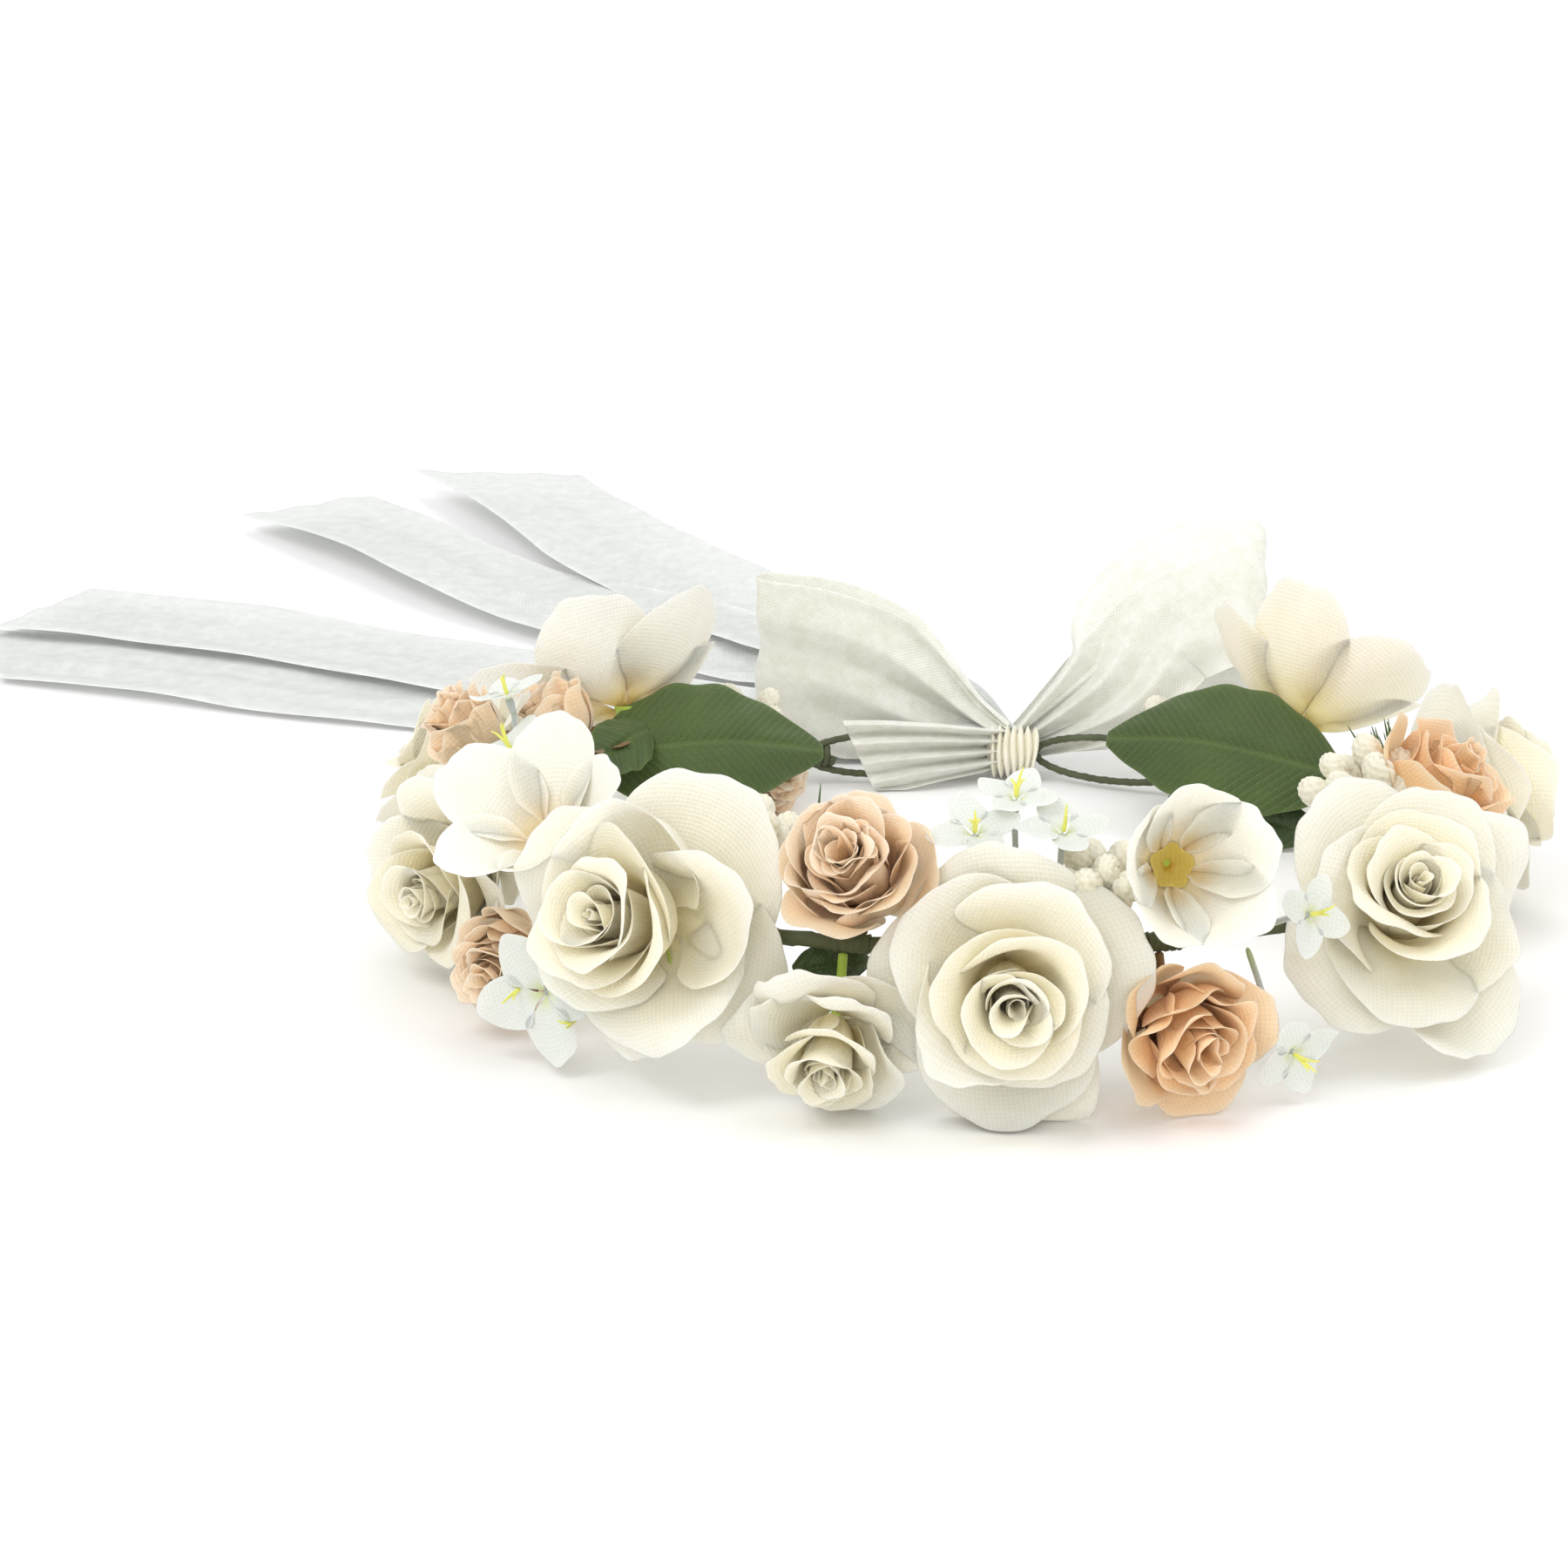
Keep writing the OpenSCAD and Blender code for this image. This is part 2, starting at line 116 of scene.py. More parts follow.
def box_of(node):
    """The corners of the node's box in millimetres."""
    return [np.array(corner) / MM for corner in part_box(node)]


def run_along(path):
    """The distance from the path's start to each of its points."""
    steps = np.linalg.norm(np.diff(path, axis=0), axis=1)
    return np.concatenate([[0], np.cumsum(steps)])


def jog(rng, reach):
    """A random step of up to `reach` along each axis."""
    return np.array([rng.uniform(-reach, reach) for _ in range(3)])


def hoop_circle():
    """The hoop's centre line: its normal and its radius."""
    lo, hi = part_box("hoop_wire")
    up = Vector(frame["record"]["mounts"][0]["axis"]).normalized()
    return np.array(up), (hi.x - lo.x) / 2 / MM - WIRE_R


HOOP_UP, HOOP_R = hoop_circle()


def hoop_point(p):
    """The nearest point on the hoop's centre line, for one point or for many."""
    p = np.asarray(p, dtype=float)
    flat = p - (p @ HOOP_UP)[..., None] * HOOP_UP
    return flat / np.linalg.norm(flat, axis=-1)[..., None] * HOOP_R


def foot_of(points):
    """The point that lies nearest to the hoop."""
    return points[np.argmin(np.linalg.norm(points - hoop_point(points), axis=1))]


def round_frame(tris):
    """Centre and axis of a round solid: the axis is its odd principal direction."""
    area = np.linalg.norm(np.cross(tris[:, 1] - tris[:, 0], tris[:, 2] - tris[:, 0]), axis=1)
    middle = tris.mean(axis=1)
    centre = (middle * area[:, None]).sum(axis=0) / area.sum()
    spread = np.einsum("n,ni,nj->ij", area, middle - centre, middle - centre)
    values, vectors = np.linalg.eigh(spread)
    odd = 0 if values[1] - values[0] > values[2] - values[1] else 2
    axis = vectors[:, odd]
    if axis @ (centre - hoop_point(centre)) < 0:
        axis = -axis
    along = (tris.reshape(-1, 3) - centre) @ axis
    reach = tris.reshape(-1, 3) - centre - along[:, None] * axis
    return {"centre": centre, "axis": axis, "low": along.min(), "high": along.max(),
            "radius": np.linalg.norm(reach, axis=1).max()}


def flower_matrix(place, spin, tilt=(0, 0)):
    """Flower coordinates to the crown's: +Z along the axis, origin at the solid's lowest end.
    The local +Y points up, so spin 0 is the same way up on every flower."""
    z = Vector(place["axis"]).normalized()
    x = Vector((0, 0, 1)).cross(z)
    x = x.normalized() if x.length > 0.2 else Vector((1, 0, 0))
    y = z.cross(x)
    base = Vector(place["centre"]) + z * place["low"]
    turn = Matrix((x, y, z)).transposed().to_4x4()
    nod = Matrix.Rotation(math.radians(tilt[0]), 4, "X") @ Matrix.Rotation(
        math.radians(tilt[1]), 4, "Y")
    return Matrix.Translation(base) @ turn @ nod @ Matrix.Rotation(math.radians(spin), 4, "Z")


# ---------------------------------------------------------------- meshes
def blank(rows, cols):
    """Empty tables of a grid's points, weave coordinates and tone values."""
    return np.zeros((rows, cols, 3)), np.zeros((rows, cols, 2)), np.ones((rows, cols, 4))


class Sheets:
    """Collects grids of points into one mesh with weave coordinates and tone values.

    The colour attribute "tone" holds: how far along the sheet, how near its edge, and a
    random value for the sheet. The UV map "weave" is in centimetres of real cloth."""

    def __init__(self):
        self.points, self.faces, self.weave, self.tone = [], [], [], []

    def grid(self, points, weave, tone, wrap=False):
        rows, cols = points.shape[:2]
        first = self.count()
        self.points.append(points.reshape(-1, 3))
        self.weave.append(weave.reshape(-1, 2))
        self.tone.append(tone.reshape(-1, 4))
        for i in range(rows - 1):
            for j in range(cols if wrap else cols - 1):
                k = (j + 1) % cols
                a, b = first + i * cols, first + (i + 1) * cols
                self.faces.append((a + j, a + k, b + k, b + j))

    def cap(self, ring, first):
        self.faces.append(tuple(first + k for k in ring))

    def count(self):
        return sum(len(p) for p in self.points)

    def join(self, part, matrix=None):
        """Adds another collector's sheets, moved by the matrix."""
        first = self.count()
        self.faces += [tuple(i + first for i in face) for face in part.faces]
        for points in part.points:
            if matrix is not None:
                points = points @ matrix[:3, :3].T + matrix[:3, 3]
            self.points.append(points)
        self.weave += part.weave
        self.tone += part.tone

    def piece(self, name, material, body, node, matrix=None, thick=0.0, smooth=1):
        mesh = bpy.data.meshes.new(name)
        points = np.concatenate(self.points)
        if matrix is not None:
            m = np.array(matrix)
            points = points @ m[:3, :3].T + m[:3, 3]
        points[:, 2] = np.maximum(points[:, 2], FLOOR_Z + 0.3)
        mesh.from_pydata((points * MM).tolist(), [], self.faces)
        tone = mesh.color_attributes.new("tone", "FLOAT_COLOR", "POINT")
        tone.data.foreach_set("color", np.concatenate(self.tone).ravel())
        uv = mesh.uv_layers.new(name="weave")
        loops = np.zeros(len(mesh.loops), dtype=np.int32)
        mesh.loops.foreach_get("vertex_index", loops)
        uv.data.foreach_set("uv", np.concatenate(self.weave)[loops].ravel())
        mesh.polygons.foreach_set("use_smooth", [True] * len(mesh.polygons))
        mesh.update()
        obj = bpy.data.objects.new(name, mesh)
        bpy.context.scene.collection.objects.link(obj)
        obj.data.materials.append(material)
        if thick:
            solid = obj.modifiers.new("cloth", "SOLIDIFY")
            solid.thickness = thick * MM
            solid.offset = 0
        if smooth:
            sub = obj.modifiers.new("smooth", "SUBSURF")
            sub.levels = sub.render_levels = smooth
        if body is not None:
            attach(obj, body)
        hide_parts(node)
        return obj


def smooth_steps(values, t):
    """A smooth curve through evenly spaced values, at t from 0 to 1."""
    x = np.linspace(0, 1, len(values))
    fine = np.interp(t, x, values)
    for _ in range(2):
        fine = np.convolve(np.pad(fine, 1, mode="edge"), [0.25, 0.5, 0.25], mode="valid")
    return fine


def petal(sheets, phi, length, width, bend, start=(1.0, 0.0), claw=0.3, corner=0.45,
          roll=0.0, cup=0.0, ruffle=0.0, point=0.0, skew=0.0, seed=0, rows=12, cols=13):
    """One cloth petal round the local Z axis.

    bend lists the petal's angles from the axis, in degrees, from base to tip; claw is how
    narrow the base is, corner how far down its shoulders start, roll curls the side edges
    back, cup folds them forward, ruffle waves the rim, and point draws the tip out."""
    rng = random.Random(seed)
    v = np.linspace(0, 1, 4 * rows + 1)
    beat = rng.uniform(0, 6)
    angle = np.radians(smooth_steps(bend, v))
    step = length / (4 * rows)
    r_line = start[0] + np.concatenate([[0], np.cumsum(np.sin(angle[1:]) * step)])
    z_line = start[1] + np.concatenate([[0], np.cumsum(np.cos(angle[1:]) * step)])
    u = np.linspace(-1, 1, cols)
    tip = corner + (1 - corner) * np.sqrt(np.clip(1 - np.abs(0.97 * u) ** 2.4, 0, 1))
    tip = tip + point * np.exp(-(u / 0.28) ** 2)
    tip = tip * (1 + 0.022 * np.sin(7 * u + beat) + 0.014 * np.sin(17 * u + 2 * beat))
    top = tip.max()
    fan = claw + (1 - claw) * np.sin(np.pi / 2 * np.clip(v / 0.72, 0, 1)) ** 0.9
    shift = rng.uniform(0, 50)
    points, weave, tone = blank(rows + 1, cols)
    shade = rng.random()
    for i in range(rows + 1):
        for j in range(cols):
            t = i / rows * tip[j] / top
            fray = 0.0
            if i == rows or j in (0, cols - 1):
                fray = rng.uniform(-0.12, 0.12)
            s = (u[j] * width / 2) * np.interp(t, v, fan) * (1 + fray * 0.08)
            r = np.interp(t, v, r_line)
            z = np.interp(t, v, z_line)
            a = np.interp(t, v, angle)
            wrap = s / max(r, 0.42 * r_line.max(), width * 0.16) + math.radians(skew) * t
            side = abs(u[j])
            off = roll * width * max(0.0, side - 0.35) ** 2 * t
            off -= cup * width * side ** 2 * math.sin(math.pi * min(1.0, t * 1.2))
            n = noise.noise(Vector((u[j] * 1.1 + shift, t * 1.6, shift)))
            off += ruffle * width * (n * 0.5 * t + 0.09 * t ** 5 * math.sin(
                5.2 * u[j] + shift) * (0.4 + side))
            off += fray * 0.6
            r += off * math.cos(a)
            z -= off * math.sin(a)
            points[i, j] = (r * math.cos(phi + wrap), r * math.sin(phi + wrap), z)
            weave[i, j] = (s / CM + shift, t * length / CM)
            tone[i, j, :3] = (t, max(side, i / rows), shade)
    sheets.grid(points, weave, tone)


def ring(sheets, count, spin, jitter, seed, **kw):
    """A ring of petals, each a little different."""
    rng = random.Random(seed)
    for k in range(count):
        opts = dict(kw)
        opts["length"] *= 1 + rng.uniform(-jitter, jitter)
        opts["width"] *= 1 + rng.uniform(-jitter, jitter)
        opts["roll"] = opts.get("roll", 0) * rng.uniform(0.2, 1.9)
        opts["ruffle"] = opts.get("ruffle", 0) * rng.uniform(0.7, 1.6)
        lean = rng.uniform(-60, 60) * jitter
        opts["bend"] = [b + lean * (0.4 + 0.6 * i / 3) for i, b in enumerate(opts["bend"])]
        phi = math.radians(spin + k * 360 / count + rng.uniform(-50, 50) * jitter)
        petal(sheets, phi, seed=seed * 31 + k, **opts)


def tube(sheets, path, radii, sides=12, ridge=0.0, turns=0.0, seed=0):
    """A tube along a path; ridge and turns wind a raised edge of tape round it."""
    path = np.array(path, dtype=float)
    radii = np.broadcast_to(radii, len(path))
    tangents = np.gradient(path, axis=0)
    tangents /= np.linalg.norm(tangents, axis=1)[:, None]
    side = np.cross(tangents[0], [0, 0, 1.0])
    if np.linalg.norm(side) < 0.1:
        side = np.cross(tangents[0], [1.0, 0, 0])
    length = run_along(path)
    points, weave, tone = blank(len(path), sides)
    rng = random.Random(seed)
    shade = rng.random()
    for i, (p, t) in enumerate(zip(path, tangents)):
        side = side - t * (side @ t)
        side /= np.linalg.norm(side)
        up = np.cross(t, side)
        for k in range(sides):
            a = k / sides * 2 * math.pi
            wind = (length[i] * turns / max(length[-1], 1e-6) + k / sides) % 1.0
            r = radii[i] + ridge * (wind ** 2)
            points[i, k] = p + r * (math.cos(a) * side + math.sin(a) * up)
            weave[i, k] = (length[i] / CM, k / sides)
            # the wind value is also the edge value that plain_surface paints lighter, a painted highlight on the
            # ridge crests
            tone[i, k, :3] = (i / (len(path) - 1), wind, shade)
    first = sheets.count()
    sheets.grid(points, weave, tone, wrap=True)
    sheets.cap(range(sides - 1, -1, -1), first)
    sheets.cap(range(sides), first + (len(path) - 1) * sides)


def bezier(a, b, c, d, n):
    """n points on a cubic curve."""
    t = np.linspace(0, 1, n)[:, None]
    a, b, c, d = (np.array(p, dtype=float) for p in (a, b, c, d))
    return ((1 - t) ** 3 * a + 3 * (1 - t) ** 2 * t * b + 3 * (1 - t) * t ** 2 * c + t ** 3 * d)


def through(points, n):
    """n evenly spaced points on a smooth curve through the given ones."""
    pts = np.array(points, dtype=float)
    pts = np.vstack([2 * pts[0] - pts[1], pts, 2 * pts[-1] - pts[-2]])
    fine = []
    for i in range(1, len(pts) - 2):
        for t in np.linspace(0, 1, 24, endpoint=False):
            p0, p1, p2, p3 = pts[i - 1:i + 3]
            fine.append(0.5 * (2 * p1 + (p2 - p0) * t + (2 * p0 - 5 * p1 + 4 * p2 - p3) * t ** 2
                               + (3 * p1 - p0 - 3 * p2 + p3) * t ** 3))
    fine = np.array(fine + [pts[-2]])
    length = run_along(fine)
    at = np.linspace(0, length[-1], n)
    return np.stack([np.interp(at, length, fine[:, k]) for k in range(3)], axis=1)


# ---------------------------------------------------------------- materials
class Nodes:
    """Short calls for building one material's node tree."""

    def __init__(self, name):
        self.material = bpy.data.materials.new(name)
        self.material.use_nodes = True
        self.tree = self.material.node_tree
        self.shader = self.tree.nodes["Principled BSDF"]

    def add(self, kind, **values):
        node = self.tree.nodes.new(kind)
        for key, value in values.items():
            if key in node.inputs:
                node.inputs[key].default_value = value
            else:
                setattr(node, key, value)
        return node

    def link(self, out, into):
        self.tree.links.new(out, into)

    def feed(self, socket, value):
        """Sets a number or a colour as the socket's value, or links a socket to it."""
        if isinstance(value, (int, float, tuple)):
            socket.default_value = value
        elif value is not None:
            self.link(value, socket)

    def math(self, op, a, b=None, clamp=False):
        node = self.add("ShaderNodeMath", operation=op, use_clamp=clamp)
        for socket, value in zip(node.inputs, (a, b)):
            self.feed(socket, value)
        return node.outputs[0]

    def times(self, a, b, clamp=False):
        return self.math("MULTIPLY", a, b, clamp)

    def plus(self, a, b, clamp=False):
        return self.math("ADD", a, b, clamp)

    def minus(self, a, b):
        return self.math("SUBTRACT", a, b)

    def power(self, a, b):
        return self.math("POWER", a, b)

    def mix(self, factor, a, b, blend="MIX"):
        node = self.add("ShaderNodeMix", data_type="RGBA", blend_type=blend)
        # inputs 6 and 7 and output 2 are the node's colour sockets
        for index, value in ((0, factor), (6, a), (7, b)):
            self.feed(node.inputs[index], value)
        return node.outputs[2]

    def steps(self, value, stops):
        node = self.add("ShaderNodeValToRGB")
        node.color_ramp.interpolation = "EASE"
        while len(node.color_ramp.elements) < len(stops):
            node.color_ramp.elements.new(0.5)
        for element, (place, colour) in zip(node.color_ramp.elements, stops):
            element.position = place
            element.color = colour
        self.link(value, node.inputs[0])
        return node.outputs[0]

    def tone(self):
        node = self.add("ShaderNodeVertexColor", layer_name="tone")
        split = self.add("ShaderNodeSeparateColor")
        self.link(node.outputs[0], split.inputs[0])
        return split.outputs[0], split.outputs[1], split.outputs[2]

    def weave_xy(self):
        node = self.add("ShaderNodeUVMap", uv_map="weave")
        split = self.add("ShaderNodeSeparateXYZ")
        self.link(node.outputs[0], split.inputs[0])
        return split.outputs[0], split.outputs[1]

    def noise(self, scale, detail=3.0, rough=0.55):
        where = self.add("ShaderNodeTexCoord")
        node = self.add("ShaderNodeTexNoise", Scale=scale, Detail=detail, Roughness=rough)
        self.link(where.outputs["Object"], node.inputs["Vector"])
        return node.outputs["Fac"]

    def cloth(self, threads, angle=0.0):
        """A plain weave: warp and weft crossing over each other. threads are per cm."""
        x, y = self.weave_xy()
        c, s = math.cos(angle), math.sin(angle)
        p = self.plus(self.times(x, c), self.times(y, s))
        q = self.minus(self.times(y, c), self.times(x, s))
        k = math.pi * threads
        warp = self.math("SINE", self.times(p, k))
        weft = self.math("SINE", self.times(q, k))
        return self.plus(self.times(warp, weft), 1.0)

    def bump(self, height, strength, distance):
        node = self.add("ShaderNodeBump", Strength=strength, Distance=distance)
        self.link(height, node.inputs["Height"])
        self.link(node.outputs[0], self.shader.inputs["Normal"])

    def finish(self, colour=None, rough=0.8, sheen=0.0, scatter=0.0, specular=0.3):
        if colour is not None:
            self.link(colour, self.shader.inputs["Base Color"])
        values = {"Roughness": rough, "Sheen Weight": sheen, "Specular IOR Level": specular}
        if scatter:
            values.update({"Subsurface Weight": scatter, "Subsurface Scale": 0.005,
                           "Subsurface Radius": (1.0, 0.8, 0.55)})
        for socket, value in values.items():
            self.shader.inputs[socket].default_value = value
        return self.material


def rgb(r, g, b):
    """An sRGB colour, 0 to 255, as the linear colour that nodes take."""
    return tuple(((c / 255 + 0.055) / 1.055) ** 2.4 if c > 10 else c / 3295
                 for c in (r, g, b)) + (1.0,)


def petal_cloth(name, deep, base, rim, blush=None, deep_to=0.45):
    """Woven petal cloth: `deep` at the base, `base` in the middle and `rim` at the edge."""
    n = Nodes(name)
    along, edge, shade = n.tone()
    colour = n.steps(along, [(0.0, deep), (deep_to, base), (1.0, base)])
    colour = n.mix(n.times(n.power(edge, 9.0), 0.75), colour, rim)
    if blush is not None:
        patch = n.times(n.minus(n.noise(46.0, 2.0), 0.52), 3.0, True)
        colour = n.mix(n.times(patch, 0.5), colour, blush)
    mottled = n.steps(n.noise(160.0, 4.0), [(0.3, (0.93, 0.925, 0.90, 1)), (0.7, WHITE)])
    colour = n.mix(0.6, colour, mottled, "MULTIPLY")
    varied = n.steps(shade, [(0.0, (0.955, 0.95, 0.925, 1)), (1.0, WHITE)])
    colour = n.mix(1.0, colour, varied, "MULTIPLY")
    weave = n.cloth(16, 0.7)
    threads_tint = n.steps(n.times(weave, 0.5),
                           [(0.1, (0.90, 0.89, 0.86, 1)), (0.7, WHITE)])
    colour = n.mix(0.55, colour, threads_tint, "MULTIPLY")
    lumps = n.plus(n.times(weave, 0.5), n.noise(900.0, 2.0))
    n.bump(lumps, 0.35, 0.00025)
    return n.finish(colour, rough=0.78, sheen=0.2, scatter=0.45)


def leaf_cloth(name, dark, light, vein):
    """Printed leaf cloth with a midrib and slanting side veins."""
    n = Nodes(name)
    edge = n.tone()[1]
    across, up = n.weave_xy()
    side = n.math("ABSOLUTE", across)
    slant = n.minus(up, n.times(side, 0.9))
    wave = n.math("SINE", n.times(slant, 2 * math.pi * 2.6))
    veins = n.power(n.math("ABSOLUTE", wave), 0.35)
    midrib = n.times(side, 9.0, True)
    lines = n.times(veins, midrib)
    patch = n.noise(70.0, 4.0)
    colour = n.mix(n.times(patch, 1.1, True), dark, light)
    colour = n.mix(n.times(n.minus(1.0, lines), 0.3), colour, vein)
    colour = n.mix(n.times(n.power(edge, 14.0), 0.35), colour, vein)
    fine = n.cloth(26, 0.3)
    n.bump(n.plus(n.times(lines, 1.6), n.times(fine, 0.35)),
           0.45, 0.0004)
    return n.finish(colour, rough=0.5, sheen=0.1, specular=0.45)


def organza_cloth(name, tint, light, cover):
    """Sheer ribbon: a fine open weave with a denser woven edge."""
    n = Nodes(name)
    edge = n.tone()[1]
    slub = n.noise(260.0, 5.0, 0.7)
    selvedge = n.power(edge, 18.0)
    weave = n.times(n.cloth(24, 0.0), 0.5)
    solid = n.plus(n.times(weave, 0.22), cover)
    solid = n.plus(solid, n.times(slub, 0.16))
    solid = n.plus(solid, n.times(selvedge, 0.3), True)
    colour = n.steps(slub, [(0.3, tint), (0.75, light)])
    n.link(solid, n.shader.inputs["Alpha"])
    n.bump(n.plus(weave, n.times(slub, 0.6)), 0.3, 0.0002)
    return n.finish(colour, rough=0.5, sheen=0.5, specular=0.35)


def plain_surface(name, dark, light, scale, rough, bump=0.3, depth=0.0003, scatter=0.0,
                  sheen=0.0):
    """A mottled surface for wire, berries, stamens and moulded plastic."""
    n = Nodes(name)
    edge = n.tone()[1]
    patch = n.noise(scale, 4.0)
    colour = n.mix(n.times(patch, 1.2, True), dark, light)
    # painted highlight: lighter towards the edge value, which is the crest of each tape ridge, the tip of each
    # berry grain and one side of each plain tube
    painted_highlight = n.times(n.power(edge, 6.0), 0.3)
    colour = n.mix(painted_highlight, colour, light)
    n.bump(n.noise(scale * 9, 3.0), bump, depth)
    return n.finish(colour, rough=rough, scatter=scatter, sheen=sheen)


WHITE_RIM = rgb(250, 249, 240)
ROSE = petal_cloth("rose_cloth", rgb(248, 234, 178), rgb(246, 241, 218), WHITE_RIM)
ROSE_HEART = petal_cloth("rose_heart_cloth", rgb(252, 230, 160), rgb(251, 242, 208),
                         rgb(252, 249, 232), deep_to=0.8)
BLOSSOM = petal_cloth("blossom_cloth", rgb(234, 184, 56), rgb(246, 243, 226), WHITE_RIM,
                      deep_to=0.5)
BLOSSOM_PINK = petal_cloth("blossom_pink_cloth", rgb(236, 206, 100), rgb(248, 238, 206),
                           WHITE_RIM, blush=rgb(246, 208, 200), deep_to=0.6)
PEACH = petal_cloth("peach_cloth", rgb(255, 204, 138), rgb(255, 220, 174), rgb(255, 234, 204))
PEACH_DEEP = petal_cloth("peach_deep_cloth", rgb(255, 188, 108), rgb(255, 204, 142),
                         rgb(255, 224, 180))
LILAC = petal_cloth("lilac_cloth", rgb(206, 222, 140), rgb(228, 234, 226), rgb(238, 241, 236),
                    deep_to=0.3)
THROAT = petal_cloth("throat_cloth", rgb(214, 158, 24), rgb(240, 208, 96), rgb(244, 220, 124))
LEAF = leaf_cloth("leaf_cloth", rgb(40, 60, 16), rgb(72, 94, 34), rgb(106, 128, 66))
LEAF_DARK = leaf_cloth("leaf_dark_cloth", rgb(32, 50, 16), rgb(56, 76, 30), rgb(82, 100, 54))
ORGANZA_TAIL = organza_cloth("organza_cloth", rgb(222, 225, 221), rgb(236, 238, 235), 0.5)
ORGANZA_BOW = organza_cloth("organza_bow_cloth", rgb(238, 238, 226),
                            rgb(250, 250, 244), 0.42)
KNOT_CLOTH = organza_cloth("organza_knot_cloth", rgb(244, 239, 216), rgb(252, 249, 236), 0.8)
TAPE = plain_surface("floral_tape_surface", rgb(52, 60, 34), rgb(96, 102, 74), 120.0, 0.7)
COATED = plain_surface("coated_wire_surface", rgb(50, 58, 36), rgb(98, 104, 78), 200.0, 0.55)
LIME = plain_surface("lime_calyx_surface", rgb(122, 168, 40), rgb(190, 212, 92), 90.0, 0.45,
                     scatter=0.2)
MAROON = plain_surface("maroon_calyx_surface", rgb(92, 52, 40), rgb(126, 104, 58), 110.0, 0.7,
                       sheen=0.2)
STAMEN = plain_surface("stamen_surface", rgb(206, 214, 84), rgb(238, 232, 130), 200.0, 0.45)
BERRY = plain_surface("berry_foam_surface", rgb(222, 216, 190), rgb(246, 243, 228), 420.0,
                      0.85, bump=0.6, depth=0.0004, scatter=0.15)
FERN = plain_surface("fern_surface", rgb(36, 58, 22), rgb(88, 116, 48), 150.0, 0.6)


# ---------------------------------------------------------------- flowers
def rose(name, spin, seed, open_=1.0, tilt=(0, 0), heart_nod=(0, 0), drop=None):
    """A cloth rose: two outer rings of broad petals round a taller heart of furled ones.
    drop adds one long petal that hangs from the rose, in the given direction."""
    place = round_frame(triangles(name + "_outer"))
    matrix = flower_matrix(place, spin, tilt)
    nodded = flower_matrix(place, spin + 20, (tilt[0] + heart_nod[0], tilt[1] + heart_nod[1]))
    r = place["radius"]
    o = open_
    outer = Sheets()
    ring(outer, 4, 0, 0.12, seed, length=1.2 * r, width=1.66 * r, corner=0.5,
         bend=[86, 74 * o, 66 * o, 76, 112], roll=0.18, ruffle=0.42, rows=14, cols=21)
    ring(outer, 4, 45, 0.12, seed + 1, length=1.12 * r, width=1.46 * r, corner=0.52,
         bend=[80, 56 * o, 42 * o, 50, 98], start=(1.4, 0.6), roll=0.18, ruffle=0.38,
         rows=14, cols=19)
    if drop is not None:
        petal(outer, math.radians(drop - spin), 1.62 * r, 1.5 * r, [88, 86, 92, 112, 126],
              corner=0.4, roll=0.1, ruffle=0.22, seed=seed + 9, rows=16, cols=19)
    outer.piece(name + "_petals", ROSE, "crown", name + "_outer", matrix, CLOTH)
    heart = Sheets()
    ring(heart, 3, 10, 0.1, seed + 2, length=1.16 * r, width=1.5 * r, corner=0.55,
         bend=[66, 26, 16, 24, 88], start=(1.4, 1.6), roll=0.16, ruffle=0.26, skew=12,
         rows=13, cols=19)
    ring(heart, 3, 68, 0.1, seed + 3, length=1.08 * r, width=1.2 * r, corner=0.58,
         bend=[52, 12, 4, 10, 66], start=(1.2, 2.4), roll=0.14, ruffle=0.22, skew=20,
         rows=13, cols=17)
    ring(heart, 3, 24, 0.1, seed + 4, length=1.0 * r, width=0.9 * r, corner=0.62,
         bend=[38, 4, -3, 2, 42], start=(1.0, 3.0), roll=0.1, ruffle=0.18, skew=26,
         rows=12, cols=13)
    ring(heart, 2, 80, 0.08, seed + 5, length=0.92 * r, width=0.62 * r, corner=0.68,
         bend=[28, -2, -6, 0, 22], start=(0.8, 3.4), roll=0.0, ruffle=0.12, skew=30,
         rows=10, cols=10)
    furl(heart, 0.09 * r, 0.82 * r, 3.0, seed)
    heart.piece(name + "_heart_petals", ROSE_HEART, "crown", name + "_heart", nodded, CLOTH)


def furl(sheets, radius, height, base, seed):
    """The furled strip at the heart of a rose: a spiral in plan, flared at the top."""
    rows, cols, turns = 8, 30, 1.8
    points, weave, tone = blank(rows, cols)
    for i in range(rows):
        t = i / (rows - 1)
        for j in range(cols):
            u = j / (cols - 1)
            a = u * turns * 2 * math.pi
            r = radius * (0.35 + 1.15 * u) * (0.75 + 0.5 * t ** 3)
            z = base + height * t * (0.93 + 0.07 * math.sin(a * 1.3 + seed))
            points[i, j] = (r * math.cos(a), r * math.sin(a), z)
            weave[i, j] = (a * radius / CM, height * t / CM)
            tone[i, j, :3] = (0.45 + 0.55 * t, t, u)
    sheets.grid(points, weave, tone)


POMPON = ((6, 1.45, 1.2, [92, 62, 26, 6, 40], 0.0), (6, 1.5, 1.05, [80, 44, 12, 0, 50], 0.5),
          (6, 1.5, 0.95, [64, 26, 2, 0, 54], 1.0), (5, 1.46, 0.8, [46, 12, -2, 2, 52], 1.5),
          (5, 1.42, 0.66, [30, 4, -2, 4, 46], 2.0), (3, 1.38, 0.5, [14, 0, 0, 4, 34], 2.2))
CABBAGE = ((5, 1.5, 1.5, [88, 66, 34, 20, 60], 0.0), (5, 1.46, 1.34, [80, 46, 14, 6, 46], 0.5),
           (4, 1.42, 1.16, [66, 26, 2, 2, 36], 1.0), (3, 1.36, 0.96, [50, 12, -4, -2, 26], 1.5),
           (3, 1.28, 0.66, [34, 4, -4, -2, 18], 2.0))


